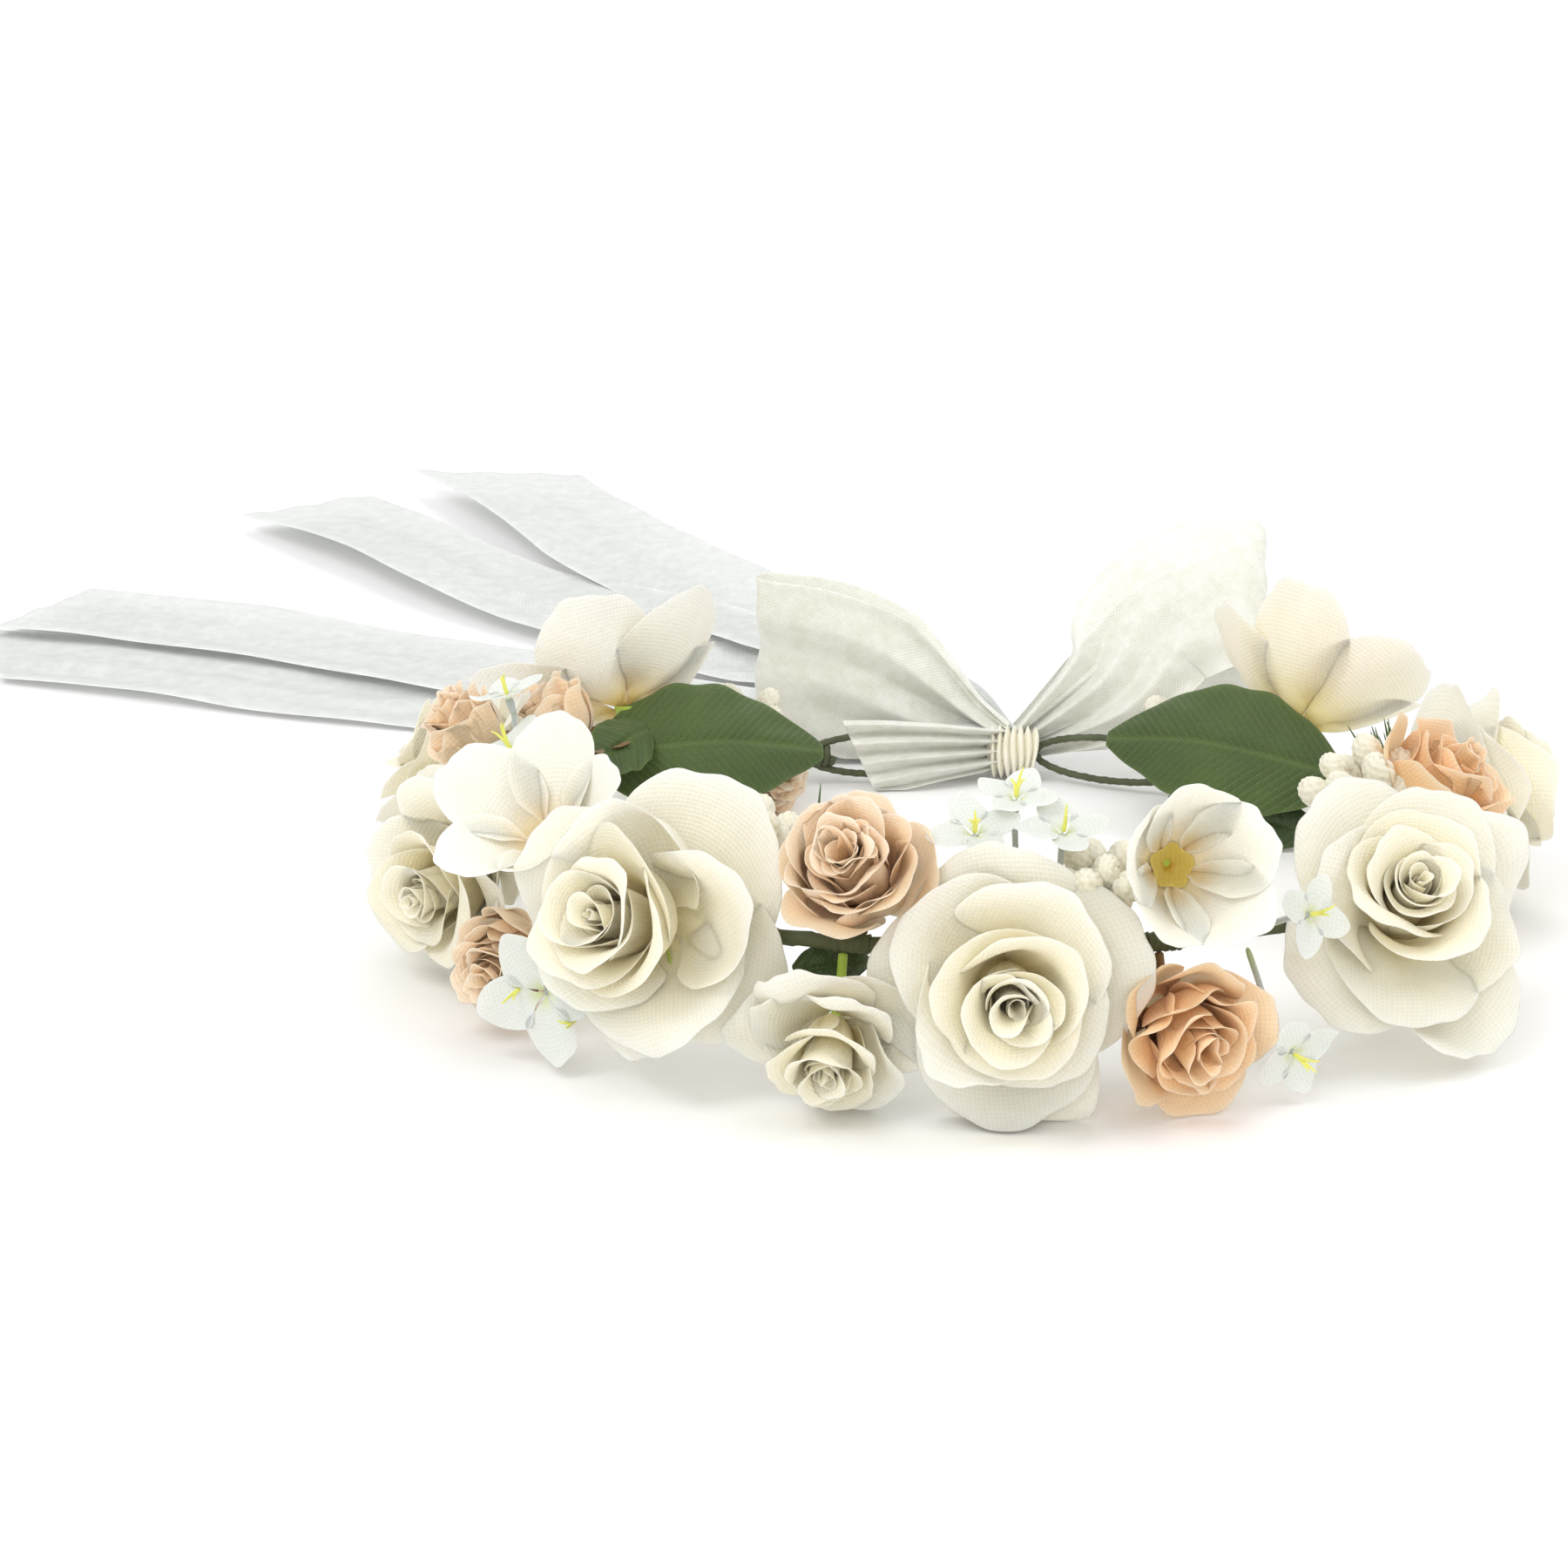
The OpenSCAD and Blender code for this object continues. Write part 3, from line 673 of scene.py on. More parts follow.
def peach_rose(name, spin, seed, rings, cloth=PEACH, size=1.14):
    """A small many-petalled rose with ruffled rims. Each ring lists its petals' count,
    length, width and bend, and how high it starts."""
    place = round_frame(triangles(name))
    matrix = flower_matrix(place, spin)
    r = place["radius"] * size
    s = Sheets()
    for k, (count, length, width, bend, low) in enumerate(rings):
        ring(s, count, k * 33, 0.1, seed + k, length=length * r, width=width * r, bend=bend,
             start=(0.8, low), corner=0.6, roll=0.12, ruffle=0.5, rows=10, cols=13)
    s.piece(name + "_petals", cloth, "crown", name, matrix, CLOTH * 0.8)


def blossom(name, spin, seed, cloth, bend, width=1.3, length=1.5, tilt=(0, 0)):
    """A plumeria-type blossom: broad petals from a narrow throat."""
    place = round_frame(triangles(name))
    matrix = flower_matrix(place, spin, tilt)
    r = place["radius"]
    s = Sheets()
    ring(s, 5, 0, 0.06, seed, length=length * r, width=width * r, bend=bend, claw=0.2,
         corner=0.46, roll=0.08, cup=0.1, ruffle=0.2, skew=10, rows=15, cols=17)
    s.piece(name + "_petals", cloth, "crown", name, matrix, CLOTH)


def lilac(name, seed):
    """Small four-petalled florets on short tubes."""
    s = Sheets()
    for k, tris in enumerate(islands(name)):
        place = floret_frame(tris)
        matrix = np.array(flower_matrix(place, 20 + 37 * k))
        solid = tris.reshape(-1, 3)
        foot = foot_of(solid)
        neck = place["centre"] - place["axis"] * 3.0
        tube(s, bezier(foot, (foot + neck) / 2, neck - place["axis"] * 2, neck, 10), 0.6,
             sides=8)
        part = Sheets()
        r = place["radius"]
        ring(part, 4, 0, 0.06, seed + k, length=1.2 * r, width=1.16 * r,
             bend=[40, 84, 80, 62], start=(0.5, 0.0), claw=0.3, corner=0.42, roll=0.05,
             cup=0.06, ruffle=0.2, point=0.12, rows=9, cols=9)
        tube(part, [(0, 0, -4), (0, 0, -2), (0, 0, 0.4)], [0.6, 0.8, 1.1], sides=8)
        s.join(part, matrix)
    s.piece(name + "_florets", LILAC, "crown", name, None, CLOTH * 0.7)


def floret_frame(tris):
    """Centre and axis of a floret: its flat petals face along their area's main normal."""
    normal = np.cross(tris[:, 1] - tris[:, 0], tris[:, 2] - tris[:, 0])
    spread = normal.T @ (normal * np.linalg.norm(normal, axis=1)[:, None])
    axis = np.linalg.eigh(spread)[1][:, 2]
    points = tris.reshape(-1, 3)
    middle = points.mean(axis=0)
    if axis @ (middle - hoop_point(middle)) < 0:
        axis = -axis
    along = points @ axis
    disc = points[along > along.max() - 1.2]
    centre = box_middle(disc)
    reach = disc - centre
    reach = reach - (reach @ axis)[:, None] * axis
    return {"centre": centre, "axis": axis, "low": 0.0, "radius": np.linalg.norm(
        reach, axis=1).max()}


def berry_cluster(name, seed, heads, lift):
    """Foam berries: knobbly oblong heads on thin stalks, `lift` above the sprig's middle."""
    rng = random.Random(seed)
    s = Sheets()
    for tris in islands(name):
        points = tris.reshape(-1, 3)
        base = foot_of(points)
        centre = box_middle(points)
        half = (points.max(axis=0) - points.min(axis=0)) / 2
        out = centre - base
        for k in range(heads):
            turn = k * 2.4
            level = -0.8 + 1.6 * (k + 0.5) / heads
            ball = np.array([math.cos(turn) * math.sqrt(1 - level ** 2),
                             math.sin(turn) * math.sqrt(1 - level ** 2), level])
            head = base + out * 1.12 + ball * (half - 1.2) * rng.uniform(0.6, 1.0)
            head[2] += lift
            stalk = head - base
            stalk /= np.linalg.norm(stalk)
            bend = base + out * 0.45
            tube(s, bezier(base, bend, head - stalk * 3, head, 8), 0.35, sides=6)
            berry(s, head, stalk, rng.uniform(2.5, 3.1), seed * 50 + k)
    s.piece(name + "_foam", BERRY, "crown", name, None, smooth=0)


def berry(sheets, centre, axis, radius, seed):
    """One oblong head covered in grains."""
    rows, cols, grains = 30, 38, 74
    rng = random.Random(seed)
    seeds = []
    for k in range(grains):
        level = 1 - 2 * (k + 0.5) / grains
        turn = k * GOLDEN_ANGLE + rng.uniform(-0.15, 0.15)
        flat = math.sqrt(1 - level ** 2)
        seeds.append((flat * math.cos(turn), flat * math.sin(turn), level))
    seeds = np.array(seeds)
    z = Vector(axis)
    turn = np.array(z.to_track_quat("Z", "Y").to_matrix())
    points, weave, tone = blank(rows, cols)
    shade = rng.random()
    for i in range(rows):
        a = math.pi * (0.03 + 0.94 * i / (rows - 1))
        for j in range(cols):
            b = 2 * math.pi * j / cols
            d = np.array([math.sin(a) * math.cos(b), math.sin(a) * math.sin(b), math.cos(a)])
            near = (seeds @ d).max()
            bump = math.sqrt(max(0.0, 1 - ((1 - near) / 0.03))) if near > 0.97 else 0.0
            r = radius * (0.86 + 0.2 * bump)
            points[i, j] = turn @ (d * r * np.array([1, 1, 1.3])) + centre
            weave[i, j] = (b, a)
            # the grain height goes in as the edge value, so plain_surface paints the grain tips lighter, a painted
            # highlight
            tone[i, j, :3] = (i / rows, bump, shade)
    first = sheets.count()
    sheets.grid(points, weave, tone, wrap=True)
    sheets.cap(range(cols - 1, -1, -1), first)
    sheets.cap(range(cols), first + (rows - 1) * cols)


def fern(name, seed):
    """A grassy spray of narrow pointed blades."""
    rng = random.Random(seed)
    s = Sheets()
    points = triangles(name).reshape(-1, 3)
    base = foot_of(points)
    far = points - base
    reach = np.linalg.norm(far, axis=1)
    tips = points[reach > reach.max() * 0.75]
    middle = tips.mean(axis=0)
    for k in range(FERN_BLADES):
        tip = tips[rng.randrange(len(tips))] * 0.55 + middle * 0.45
        tip = tip + jog(rng, 3)
        length = np.linalg.norm(tip - base)
        tip = base + (tip - base) * rng.uniform(0.85, 1.2)
        lean = base + (tip - base) * 0.5 + jog(rng, 2)
        path = bezier(base, lean, lean, tip, 9)
        radii = 0.55 * np.sin(np.linspace(0.5, math.pi - 0.08, 9)) + 0.06
        tube(s, path, radii, sides=6, seed=seed + k)
        for side in range(3):
            a = path[3 + side]
            out = jog(rng, 1)
            end = a + (tip - base) / length * 4 + out * 1.6
            tube(s, bezier(a, (a + end) / 2, (a + end) / 2, end, 5),
                 [0.3, 0.32, 0.26, 0.16, 0.05], sides=5, seed=seed + k + side)
    s.piece(name + "_blades", FERN, "crown", name, None)


def leaf_frame(tris):
    """Centre, long direction, width direction and face of a leaf."""
    points = tris.reshape(-1, 3)
    centre = points.mean(axis=0)
    vectors = np.linalg.eigh((points - centre).T @ (points - centre))[1]
    face, width, long_ = vectors[:, 0], vectors[:, 1], vectors[:, 2]
    if face[2] - face[1] < 0:
        face = -face
    long_ = long_ if abs(long_[0]) < 1e-6 or long_[0] > 0 else -long_
    width = np.cross(face, long_)
    along = (points - centre) @ long_
    across = (points - centre) @ width
    high = (points - centre) @ face
    return {"centre": box_middle(points), "long": long_,
            "width": width, "face": face, "len": np.ptp(along), "wide": np.ptp(across),
            "rise": np.ptp(high)}


def leaf_pieces(name, cloth, seed, towards=1):
    """Cloth leaves with a pressed midrib. `towards` says which end the tip is at."""
    s = Sheets()
    rows, cols = 28, 17
    for k, tris in enumerate(islands(name)):
        f = leaf_frame(tris)
        rng = random.Random(seed + k)
        shift = rng.uniform(0, 40)
        points, weave, tone = blank(rows + 1, cols)
        for i in range(rows + 1):
            t = i / rows
            half = f["wide"] * 0.54 * (math.sin(math.pi * min(1.0, t * 0.93 + 0.045))
                                       ** 0.8) * (1.16 - 0.42 * t)
            bow = math.sin(math.pi * t)
            for j in range(cols):
                u = -1 + 2 * j / (cols - 1)
                edge = 1 + 0.03 * math.sin(t * 31 + u * 3 + shift) * abs(u)
                x = (t - 0.5) * f["len"] * 1.02 * towards
                y = u * half * edge
                z = f["rise"] * (bow - 0.55)
                z -= 1.1 * math.exp(-(u / 0.09) ** 2) * bow
                z -= 0.16 * half * u * u
                z += 0.5 * abs(u) * bow * math.cos(26 * (t - 0.35 * abs(u)))
                z += 1.3 * noise.noise(Vector((t * 3 + shift, u, shift)))
                points[i, j] = (f["centre"] + f["long"] * x + f["width"] * y
                                + f["face"] * z)
                weave[i, j] = (y / CM, t * f["len"] / CM)
                tone[i, j, :3] = (t, max(abs(u), abs(2 * t - 1) ** 6), rng.random())
        s.grid(points, weave, tone)
    s.piece(name + "_cloth", cloth, "crown", name, None, CLOTH)


def calyx_group(name, cloth, flare, length, sepals, sepal=(6.0, 3.8)):
    """Calyx cups with pointed sepals, and the stem that ties each to the hoop."""
    s = Sheets()
    for k, tris in enumerate(islands(name)):
        points = tris.reshape(-1, 3)
        if np.ptp(points, axis=0).max() < 3:
            continue
        near = np.linalg.norm(points - hoop_point(points), axis=1)
        far_end = points[near > near.max() - 1.6].mean(axis=0)
        near_end = points[near < near.min() + 0.8].mean(axis=0)
        axis = Vector(far_end - near_end).normalized()
        matrix = np.array(Matrix.Translation(Vector(far_end) - axis * length * 0.55)
                          @ axis.to_track_quat("Z", "Y").to_matrix().to_4x4())
        part = Sheets()
        profile = [(0.9, -1.2), (1.6, -0.4), (flare * 0.75, length * 0.25),
                   (flare, length * 0.5), (flare * 0.9, length * 0.62)]
        sides = 20
        grid = np.array([[(r * math.cos(2 * math.pi * j / sides),
                           r * math.sin(2 * math.pi * j / sides), z) for j in range(sides)]
                         for r, z in profile])
        tone = np.ones((len(profile), sides, 4)) * 0.4
        part.grid(grid, grid[:, :, :2] / CM, tone, wrap=True)
        for q in range(sepals):
            petal(part, 2 * math.pi * q / sepals + k, sepal[0], sepal[1],
                  [40, 80, 74, 62], start=(flare * 0.6, length * 0.15), claw=0.7,
                  corner=0.16, point=0.34, cup=0.1, ruffle=0.2, seed=k * 9 + q, rows=10,
                  cols=9)
        s.join(part, matrix)
        back = np.array(Vector(far_end) - axis * length * 0.55)
        hoop = hoop_point(near_end)
        tube(s, bezier(back, (back + near_end) / 2, near_end, near_end * 0.6 + hoop * 0.4, 8),
             0.85, sides=10)
    s.piece(name + "_cups", cloth, "crown", name, None, 0.25, smooth=1)


ROSES = (
    # name, spin, seed, how open, nod, nod of the heart, direction of the long petal
    ("rose_front", 8, 11, 1.0, (2, -4), (6, 8), -84),
    ("rose_front_left", 62, 23, 1.05, (4, -6), (-6, -16)),
    ("rose_right", 20, 37, 1.0, (-4, 4), (-10, -12)),
    ("rose_left", 50, 41, 0.9, (0, 0), (4, 8)),
    ("rose_low", 12, 53, 0.94, (0, 0), (0, 6)),
    ("rose_right_rear", 0, 67, 0.92, (0, 0), (0, 0)),
    ("rose_left_rear", 14, 71, 0.86, (0, 0), (0, 0)),
)
for row in ROSES:
    rose(*row)

peach_rose("peach_front", 10, 101, POMPON, PEACH, 1.3)
peach_rose("peach_front_right", 0, 111, CABBAGE, PEACH_DEEP)
peach_rose("peach_right", 30, 121, CABBAGE, PEACH_DEEP)
for count, extra in enumerate(("peach_left", "peach_left_low", "peach_left_rear",
                               "peach_inner")):
    peach_rose(extra, 20 * count, 131 + 10 * count, POMPON)

BLOSSOMS = (
    # name, spin, seed, cloth, bend, width, length, nod
    ("blossom_left", 20, 201, BLOSSOM, [50, 44, 42, 40, 60], 1.35, 1.6, (0, 0)),
    ("blossom_front", 0, 211, BLOSSOM, [58, 40, 20, 14, 40], 1.5, 1.9, (36, -24)),
    ("blossom_left_rear", 40, 221, BLOSSOM, [80, 76, 60, 38, 40], 1.7, 1.62, (8, -10)),
    ("blossom_right_rear", 10, 231, BLOSSOM_PINK, [66, 62, 46, 34, 46], 1.5, 1.65, (0, 0)),
)
for row in BLOSSOMS:
    blossom(*row)

for count, sprig in enumerate(("lilac_left_high", "lilac_left_low", "lilac_front",
                               "lilac_front_right")):
    lilac(sprig, 301 + 10 * count)

SPRIGS = (("berries_front_left", 12, 3), ("berries_front_right", 11, 2),
          ("berries_right", 12, 2), ("berries_rear", 5, 1))
for count, (sprig, heads, lift) in enumerate(SPRIGS):
    berry_cluster(sprig, 401 + count, heads, lift)

fern("fern_front_left", 501)
fern("fern_right", 511)

leaf_pieces("leaf_right", LEAF, 601, towards=-1)
leaf_pieces("leaf_right_under", LEAF_DARK, 602, towards=-1)
leaf_pieces("leaf_left", LEAF, 603, towards=1)
leaf_pieces("leaf_left_small", LEAF, 604, towards=-1)
leaf_pieces("leaves_front", LEAF_DARK, 605, towards=1)

calyx_group("rose_calyxes", LIME, 3.4, 4.5, 5, sepal=(7.0, 4.0))
calyx_group("blossom_calyxes", LIME, 3.4, 7.0, 0)
calyx_group("peach_calyxes", MAROON, 3.6, 4.0, 5, sepal=(9.0, 6.0))


# ---------------------------------------------------------------- small parts
def throats():
    """The yellow lining in each blossom's throat, a small fluted funnel closed at its foot."""
    s = Sheets()
    sides, rows = 40, 8
    for name, spin, *_, nod in BLOSSOMS:
        m = np.array(flower_matrix(round_frame(triangles(name)), spin, nod))
        points = np.zeros((rows, sides, 3))
        tone = np.ones((rows, sides, 4))
        for i in range(rows):
            t = i / (rows - 1)
            for j in range(sides):
                a = 2 * math.pi * j / sides
                r = (0.15 + 4.0 * t) * (1 + 0.1 * t * math.cos(5 * a))
                points[i, j] = (r * math.cos(a), r * math.sin(a), 0.9 + 2.9 * t ** 1.3)
            tone[i, :, :3] = t * 0.9
        points = points @ m[:3, :3].T + m[:3, 3]
        s.grid(points, points[:, :, :2] / CM, tone, wrap=True)
    s.piece("blossom_throat_linings", THROAT, "crown", "blossom_throats", None, CLOTH)


def stamens():
    """Fine curved stamens, three from each floret."""
    s = Sheets()
    rng = random.Random(77)
    for tris in islands("lilac_stamens"):
        points = tris.reshape(-1, 3)
        near = np.linalg.norm(points - hoop_point(points), axis=1)
        foot = points[near < near.min() + 1.2].mean(axis=0)
        head = points[near > near.max() - 1.2].mean(axis=0)
        for _ in range(3):
            sway = jog(rng, 1) * 1.8
            end = head + sway
            tube(s, bezier(foot, foot + (head - foot) * 0.5, end - sway * 0.4, end, 9),
                 np.linspace(0.5, 0.12, 9), sides=8)
    s.piece("lilac_stamen_threads", STAMEN, "crown", "lilac_stamens", None)


def arc(angle_from, angle_to, radius, n):
    """Points on the hoop's own circle, in the crown's coordinates."""
    up = Vector(frame["record"]["mounts"][0]["axis"]).normalized()
    x = Vector((1, 0, 0))
    y = up.cross(x)
    out = []
    for k in range(n):
        a = math.radians(angle_from + (angle_to - angle_from) * k / (n - 1))
        out.append(np.array(x * math.cos(a) * radius + y * math.sin(a) * radius))
    return out


def hoop():
    """Hoop, tape and windings. The ends' angles come from the CAD hoop's own extent."""
    ends = {}
    pts = triangles("hoop_wire").reshape(-1, 3)
    for side in (-1, 1):
        end = pts[pts[:, 0] * side > 0]
        end = end[np.argmax(end[:, 1])]
        ends[side] = math.degrees(math.atan2(end[1], end[0]))
    left, right = ends[-1], ends[1] + 360
    wire = Sheets()
    tube(wire, arc(left, right, HOOP_R, 160), WIRE_R, sides=12)
    wire.piece("hoop_wire_core", COATED, "crown", "hoop_wire", None, smooth=0)
    tape = Sheets()
    tube(tape, arc(left, right, HOOP_R, 520), 1.35, sides=16, ridge=0.3, turns=64)
    tape.piece("hoop_tape_winding", TAPE, "crown", "hoop_tape", None, smooth=0)


def windings(name):
    """Short tape windings round the hoop, one for each CAD solid of the node."""
    s = Sheets()
    for tris in islands(name):
        middle = tris.mean(axis=(0, 1))
        centre = hoop_point(middle)
        a = math.degrees(math.atan2(centre[1], centre[0]))
        radius = np.linalg.norm(centre)
        tube(s, arc(a - 2.2, a + 2.2, radius, 40), 1.75, sides=14, ridge=0.35, turns=5)
    s.piece(name + "_tape", TAPE, "crown", name, None, smooth=0)


def eyelet(name):
    """A taped wire loop, its wire following the CAD loop, with its twist at the hoop end."""
    pts = triangles(name).reshape(-1, 3)
    lo, hi = pts.min(axis=0), pts.max(axis=0)
    inner, outer = (lo, hi) if name.startswith("right") else (hi, lo)
    tip = pts[np.argmin(np.abs(pts[:, 0] - inner[0]))]
    foot = pts[np.argmin(np.abs(pts[:, 0] - outer[0]))]
    centre_z = (lo[2] + hi[2]) / 2
    half = (hi[2] - lo[2]) / 2 - 0.9
    run = tip - foot
    loop = []
    for k in range(121):
        a = 2 * math.pi * k / 120
        t = 0.5 - 0.5 * math.cos(a)
        p = foot + run * (0.02 + 0.96 * t)
        p = p + np.array([0, 0.5 * math.sin(a), half * math.sin(a)])
        p[2] += (centre_z - (foot[2] + run[2] * 0.5)) * math.sin(math.pi * t) ** 2
        loop.append(p)
    s = Sheets()
    tube(s, loop, 0.72, sides=12, ridge=0.2, turns=34)
    direction = run / np.linalg.norm(run)
    side = np.cross(direction, [0, 0, 1.0])
    up = np.cross(side, direction)
    coil = []
    for k in range(EYELET_WRAPS * 16 + 1):
        a = 2 * math.pi * k / 16
        coil.append(foot + direction * (k / 16 * 1.5 + 0.6)
                    + side * 1.75 * math.cos(a) + up * 1.75 * math.sin(a))
    tube(s, coil, 0.75, sides=10, ridge=0.15, turns=30)
    s.piece(name + "_wire", COATED, "crown", name, None, smooth=0)


throats()
stamens()
hoop()
windings("stem_bindings")
windings("eyelet_bindings")
eyelet("left_eyelet")
eyelet("right_eyelet")


# ---------------------------------------------------------------- ribbon
def strip(path, across, gather, folds, cols=33, seed=0, ripple=0.8, lift=None, cut=0.0):
    """A ribbon along a path. `across` gives its width direction at each path point and
    gather how much of its width is left there; the rest stands up in pleats."""
    path = np.array(path, dtype=float)
    across = np.array(across, dtype=float)
    tangent = np.gradient(path, axis=0)
    length = run_along(path)
    tangent /= np.linalg.norm(tangent, axis=1)[:, None]
    rows = len(path)
    points, weave, tone = blank(rows, cols)
    for i in range(rows):
        w = across[i] - tangent[i] * (across[i] @ tangent[i])
        w /= np.linalg.norm(w)
        n = np.cross(tangent[i], w)
        g = gather[i]
        pleat = math.sqrt(max(0.0, 1 - g * g)) * RIBBON_W / folds / 4
        end = 1.0 if i == rows - 1 else 0.0
        for j in range(cols):
            u = -1 + 2 * j / (cols - 1)
            phase = math.pi * folds * u
            p = path[i] + w * u * RIBBON_W / 2 * g
            p = p + n * pleat * math.asin(math.sin(phase)) / (math.pi / 2)
            wave = noise.noise(Vector((length[i] / 38 + seed, u * 1.2, seed)))
            p = p + n * ripple * wave * min(1.0, length[i] / 30)
            share = (length[i] / length[-1]) ** 6
            p = p + tangent[i] * share * cut * u
            if lift is not None:
                p[2] = max(p[2], lift)
            points[i, j] = p
            weave[i, j] = (u * RIBBON_W / (2 * CM), length[i] / CM)
            tone[i, j, :3] = (i / (rows - 1), max(abs(u), end), 0.5)
    s = Sheets()
    s.grid(points, weave, tone)
    return s, length[-1]


def tails():
    """Four tails fanned over the table from the knot, gathered at their roots."""
    # each tail's sideways wander near and far, the slant of its cut end, and its roll
    wander = {"tail_1": (1.0, 5.0, 14.0, 14), "tail_2": (-3.0, 6.0, 3.0, 16),
              "tail_3": (2.0, -4.0, 2.0, 3), "tail_4": (-1.5, 3.5, -12.0, 0)}
    knot = middle_of("bow_knot")
    for k, joint in enumerate(j for j in frame["joints"] if j["child"].startswith("tail_")):
        name = joint["child"]
        root = np.array(joint["pos_m"]) / MM
        pts = triangles(name).reshape(-1, 3)
        reach = np.linalg.norm(pts[:, :2] - root[:2], axis=1)
        tips = pts[reach > reach.max() - 30]
        end = box_middle(tips)
        level = FLOOR_Z + 0.5 + TAIL_GAP * (3 - k)
        span = end - root
        span[2] = 0
        side = np.array([-span[1], span[0], 0]) / np.linalg.norm(span)
        first, second, cut, roll_by = wander[name]
        route = [knot + np.array([-1, 5.0, 1.0]), root + span * 0.03 + [0, 0, 5.0],
                 root + span * 0.11 + side * first * 0.3, root + span * 0.3 + side * first,
                 root + span * 0.62 + side * second, root + span * 0.82 + side * second * 0.5,
                 end]
        heights = [knot[2] + 1.0, -10.0, level + 4.5, level + 1.2, level + 0.8, level + 1.6,
                   level + 0.4]
        for point, height in zip(route, heights):
            point[2] = height
        path = through(route, 110)
        t = np.linspace(0, 1, len(path))
        gather = np.clip(0.16 + 0.84 * (t / 0.34) ** 0.8, 0, 0.995)
        across = np.tile(side, (len(path), 1))
        roll = np.radians(roll_by * np.sin(2 * math.pi * (t * 1.3 + 0.2 * k)) * t * (1 - t) * 2)
        across[:, 2] += np.sin(roll)
        s, length = strip(path, across, gather, 3, seed=10 * k + 3, ripple=1.3,
                          lift=level - 0.2, cut=cut)
        piece = s.piece(name + "_ribbon", ORGANZA_TAIL, None, name, None, ORGANZA)
        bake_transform(piece)


def middle_of(node):
    """The middle of the node's box."""
    return box_middle(triangles(node).reshape(-1, 3))


def loop_piece(name, route, across, gather, folds, seed, ripple):
    """A bow loop from a route through a few points, with a width direction at each."""
    path = through(route, LOOP_POINTS)
    spots = np.linspace(0, 1, len(across))
    t = np.linspace(0, 1, LOOP_POINTS)
    ways = np.stack([np.interp(t, spots, [a[k] for a in across]) for k in range(3)], axis=1)
    kept = np.interp(t, np.linspace(0, 1, len(gather)), gather)
    s, length = strip(path, ways, kept, folds, seed=seed, ripple=ripple)
    piece = s.piece(name + "_ribbon", ORGANZA_BOW, "bow", name, None, ORGANZA)


def bow():
    """The bow's two loops, each a ribbon that goes out, folds over and comes back."""
    knot = middle_of("bow_knot")
    lo, hi = box_of("bow_loop_left")
    fold = np.array([lo[0], (lo[1] + hi[1]) / 2, (lo[2] + hi[2]) / 2])
    loop_piece("bow_loop_left",
               [knot + [-2, 4, 1], knot + [-16, 7, 5], fold + [18, -3.5, -3],
                fold + [3, -3.5, 0], fold + [0, 0, 0], fold + [3, 3.5, 0],
                fold + [20, 4, -3], knot + [-14, 11, 4], knot + [-1, 6, 1]],
               [(0, 0, 1)] * 9,
               [0.2, 0.6, 0.95, 0.99, 0.99, 0.99, 0.95, 0.6, 0.2], 3, 5, 1.6)
    lo, hi = box_of("bow_loop_right")
    top = np.array([hi[0], (lo[1] + hi[1]) / 2, hi[2] - 9])
    loop_piece("bow_loop_right",
               [knot + [3, 3, 1], knot + [22, 4, 14], top + [-24, -4, -9],
                top + [-9, -3, -1], top + [0, 0, -4], top + [-3, 3, -10],
                top + [-16, 5, -18], knot + [20, 9, 10], knot + [2, 6, 1]],
               [(-0.5, 0.3, 0.8), (-0.5, 0.4, 0.7), (-0.5, 0.5, 0.65), (-0.35, 0.6, 0.65),
                (-0.1, 0.6, 0.75), (0.1, 0.5, 0.8), (0, 0.3, 0.9), (0, 0.2, 1), (0, 0.1, 1)],
               [0.2, 0.55, 0.9, 0.98, 0.98, 0.98, 0.9, 0.6, 0.2], 3, 8, 1.6)


def knot():
    """The knot: the ribbon's full width pleated into a narrow band round the bow's middle.
    The pleats' depth follows from the width they have to take up."""
    centre = middle_of("bow_knot")
    lo, hi = box_of("bow_knot")
    outside = (hi[2] - lo[2]) / 2 + 0.6
    half, pleats = 5.4, 7
    quarter = 2 * half / (4 * pleats)
    depth = math.sqrt((RIBBON_W / (4 * pleats)) ** 2 - quarter ** 2)
    mean = outside - depth
    sides, cols = 72, 8 * pleats + 1
    points, weave, tone = blank(cols, sides)
    for i in range(cols):
        u = -1 + 2 * i / (cols - 1)
        fold = math.asin(math.sin(math.pi * pleats * u)) / (math.pi / 2)
        for j in range(sides):
            a = 2 * math.pi * j / sides
            r = mean + depth * fold - 0.5 * u ** 4
            across = u * half * (1 + 0.1 * math.sin(a)) + 0.25 * math.sin(2 * a + 3 * u)
            points[i, j] = centre + [across, r * math.cos(a), r * math.sin(a)]
            weave[i, j] = (u * RIBBON_W / (2 * CM), a * mean / CM)
            tone[i, j, :3] = (0.5, abs(u), 0.5)
    s = Sheets()
    s.grid(points, weave, tone, wrap=True)
    piece = s.piece("bow_knot_wrap", KNOT_CLOTH, "bow", "bow_knot", None, ORGANZA)


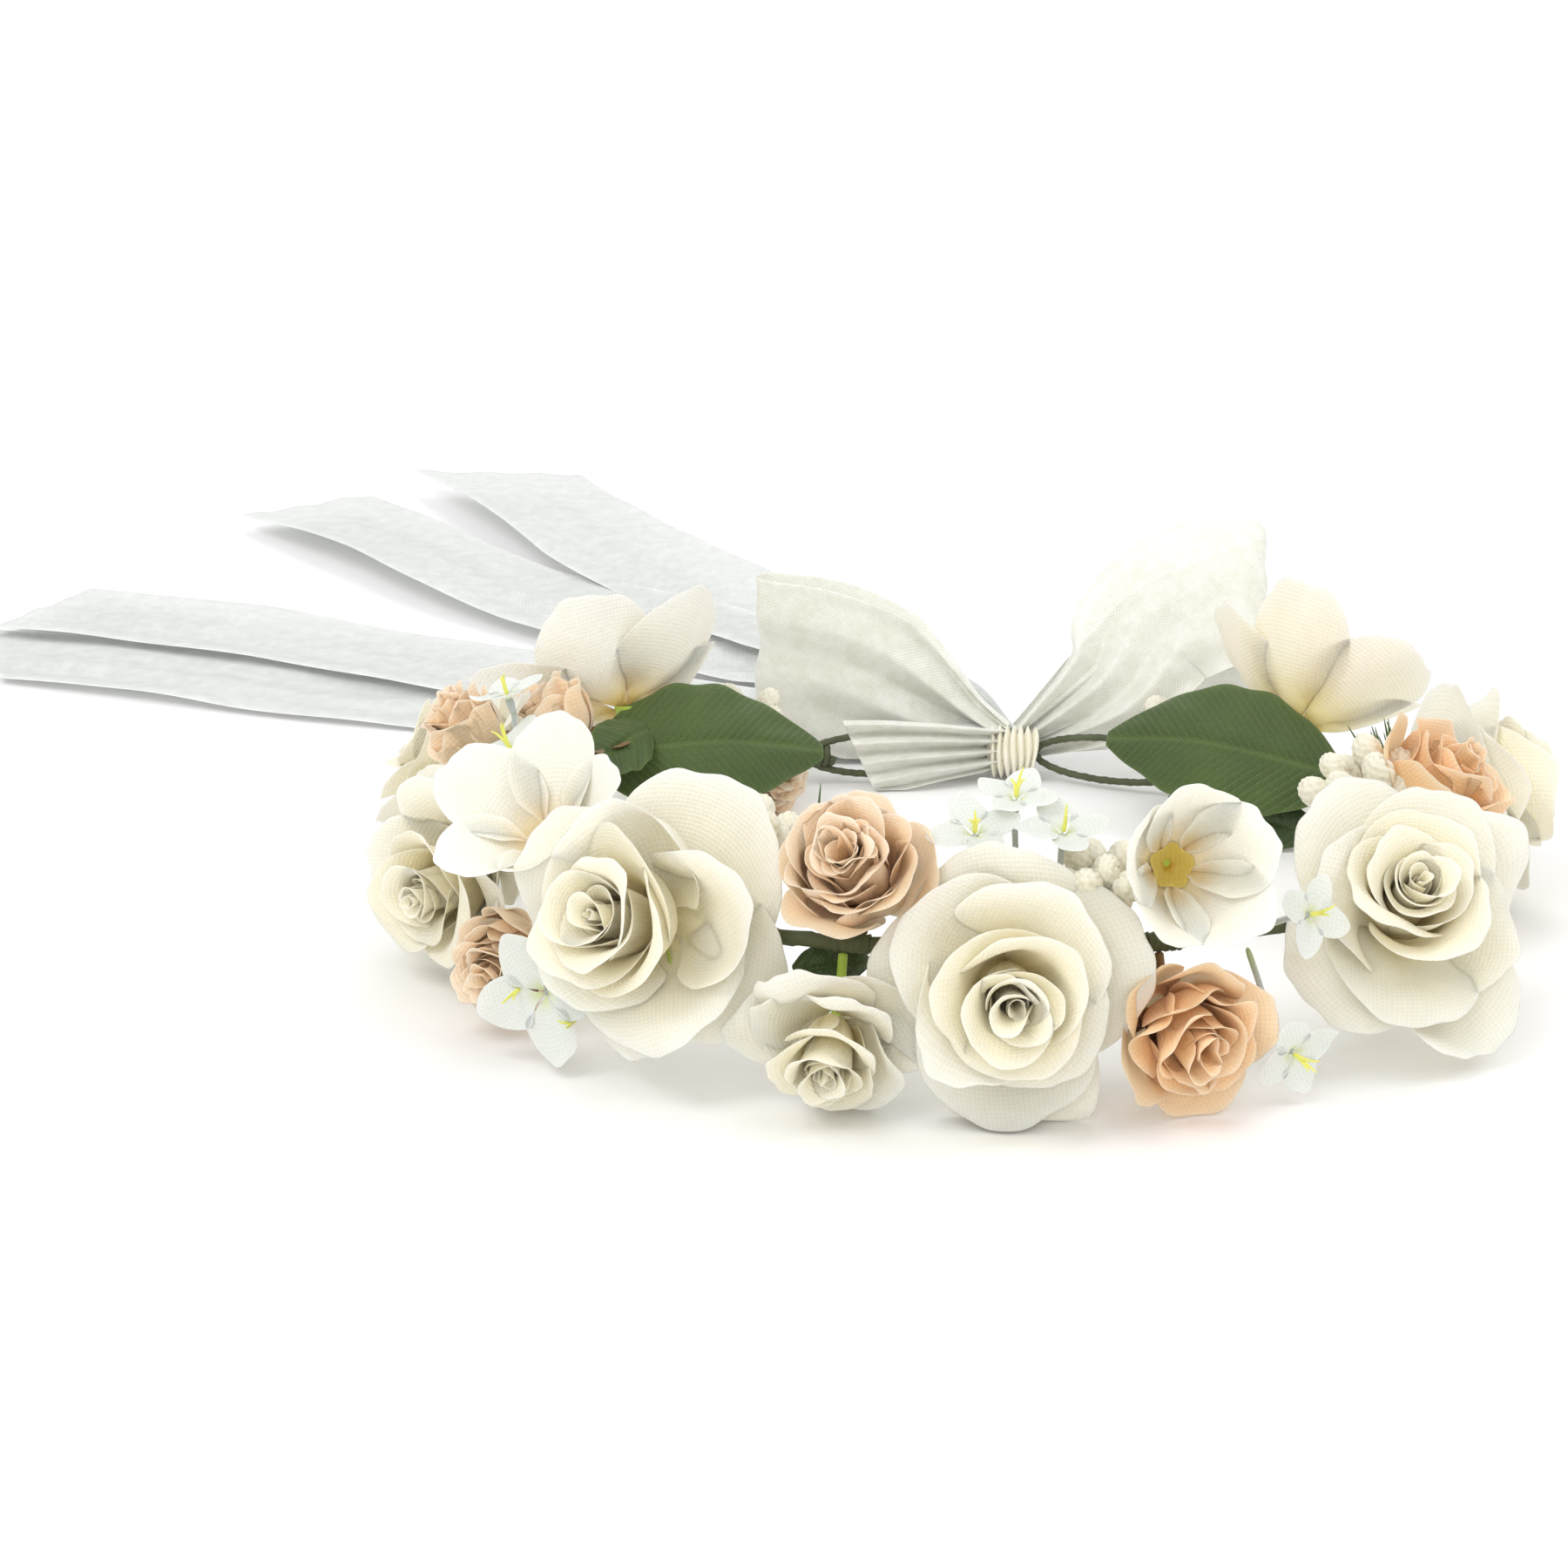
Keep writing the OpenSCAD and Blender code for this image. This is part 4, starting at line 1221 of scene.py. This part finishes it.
def short_ends():
    """The two short ends that come out of the knot towards the front."""
    s = Sheets()
    for k, tris in enumerate(islands("bow_short_ends")):
        pts = tris.reshape(-1, 3)
        lo, hi = pts.min(axis=0), pts.max(axis=0)
        knot_mid = middle_of("bow_knot")
        left = abs(lo[0] - knot_mid[0]) > abs(hi[0] - knot_mid[0])
        far = lo[0] if left else hi[0]
        sign = -1 if left else 1
        z = (lo[2] + hi[2]) / 2
        y = lo[1] + 0.6
        route = [knot_mid + [sign * 2, 1, 1], [knot_mid[0] + sign * 6, y + 4.5, z + 1],
                 [(knot_mid[0] + far) / 2, y + 0.5, z + 1.5], [far - sign * 6, y, z + 0.6],
                 [far, y - 0.5, z]]
        path = through(route, 60)
        t = np.linspace(0, 1, 60)
        across = np.tile(np.array([0.0, 0.35, 1.0]), (60, 1))
        gather = 0.2 + 0.28 * t
        part, length = strip(path, across, gather, 4, cols=49, seed=20 + k, ripple=1.0,
                             lift=FLOOR_Z + 0.4, cut=3.0)
        s.join(part)
    piece = s.piece("bow_short_end_ribbons", ORGANZA_BOW, "bow", "bow_short_ends", None,
                    ORGANZA)


tails()
bow()
knot()
short_ends()


# ---------------------------------------------------------------- stage
def stage():
    """A white floor, a white world and four soft lights."""
    bpy.ops.mesh.primitive_plane_add(size=8, location=(0, 0, FLOOR_Z * MM - 0.0002))
    floor = bpy.context.object
    floor.name = "floor"
    n = Nodes("floor_surface")
    n.bump(n.noise(30.0), 0.02, 0.0005)
    n.shader.inputs["Base Color"].default_value = (0.93, 0.93, 0.93, 1)
    floor.data.materials.append(n.finish(rough=0.9, specular=0.1))
    world = bpy.data.worlds.new("studio")
    world.use_nodes = True
    world.node_tree.nodes["Background"].inputs[0].default_value = WHITE
    world.node_tree.nodes["Background"].inputs[1].default_value = 0.82
    bpy.context.scene.world = world
    for place, size, power in (((-0.7, -0.7, 1.3), 0.7, 7.5), ((0.9, -0.3, 1.1), 0.7, 4),
                               ((0.1, 1.1, 1.2), 0.9, 4), ((-0.2, -1.3, 0.6), 0.8, 4)):
        data = bpy.data.lights.new("softbox", "AREA")
        data.size = size
        data.energy = power
        lamp = bpy.data.objects.new("softbox", data)
        lamp.location = place
        lamp.rotation_euler = (-Vector(place)).to_track_quat("-Z", "Y").to_euler()
        bpy.context.scene.collection.objects.link(lamp)


def camera():
    """The main view, from 20 degrees above the table."""
    data = bpy.data.cameras.new("camera")
    data.lens = 100.8
    data.sensor_width = 36.0
    cam = bpy.data.objects.new("camera", data)
    cam.location = (0, -CAMERA_AWAY * math.cos(CAMERA_RISE), CAMERA_AWAY * math.sin(CAMERA_RISE))
    cam.rotation_euler = CAMERA_AIM.to_track_quat("-Z", "Y").to_euler()
    bpy.context.scene.collection.objects.link(cam)
    bpy.context.scene.camera = cam


stage()
camera()
bpy.context.scene.view_settings.view_transform = "Standard"
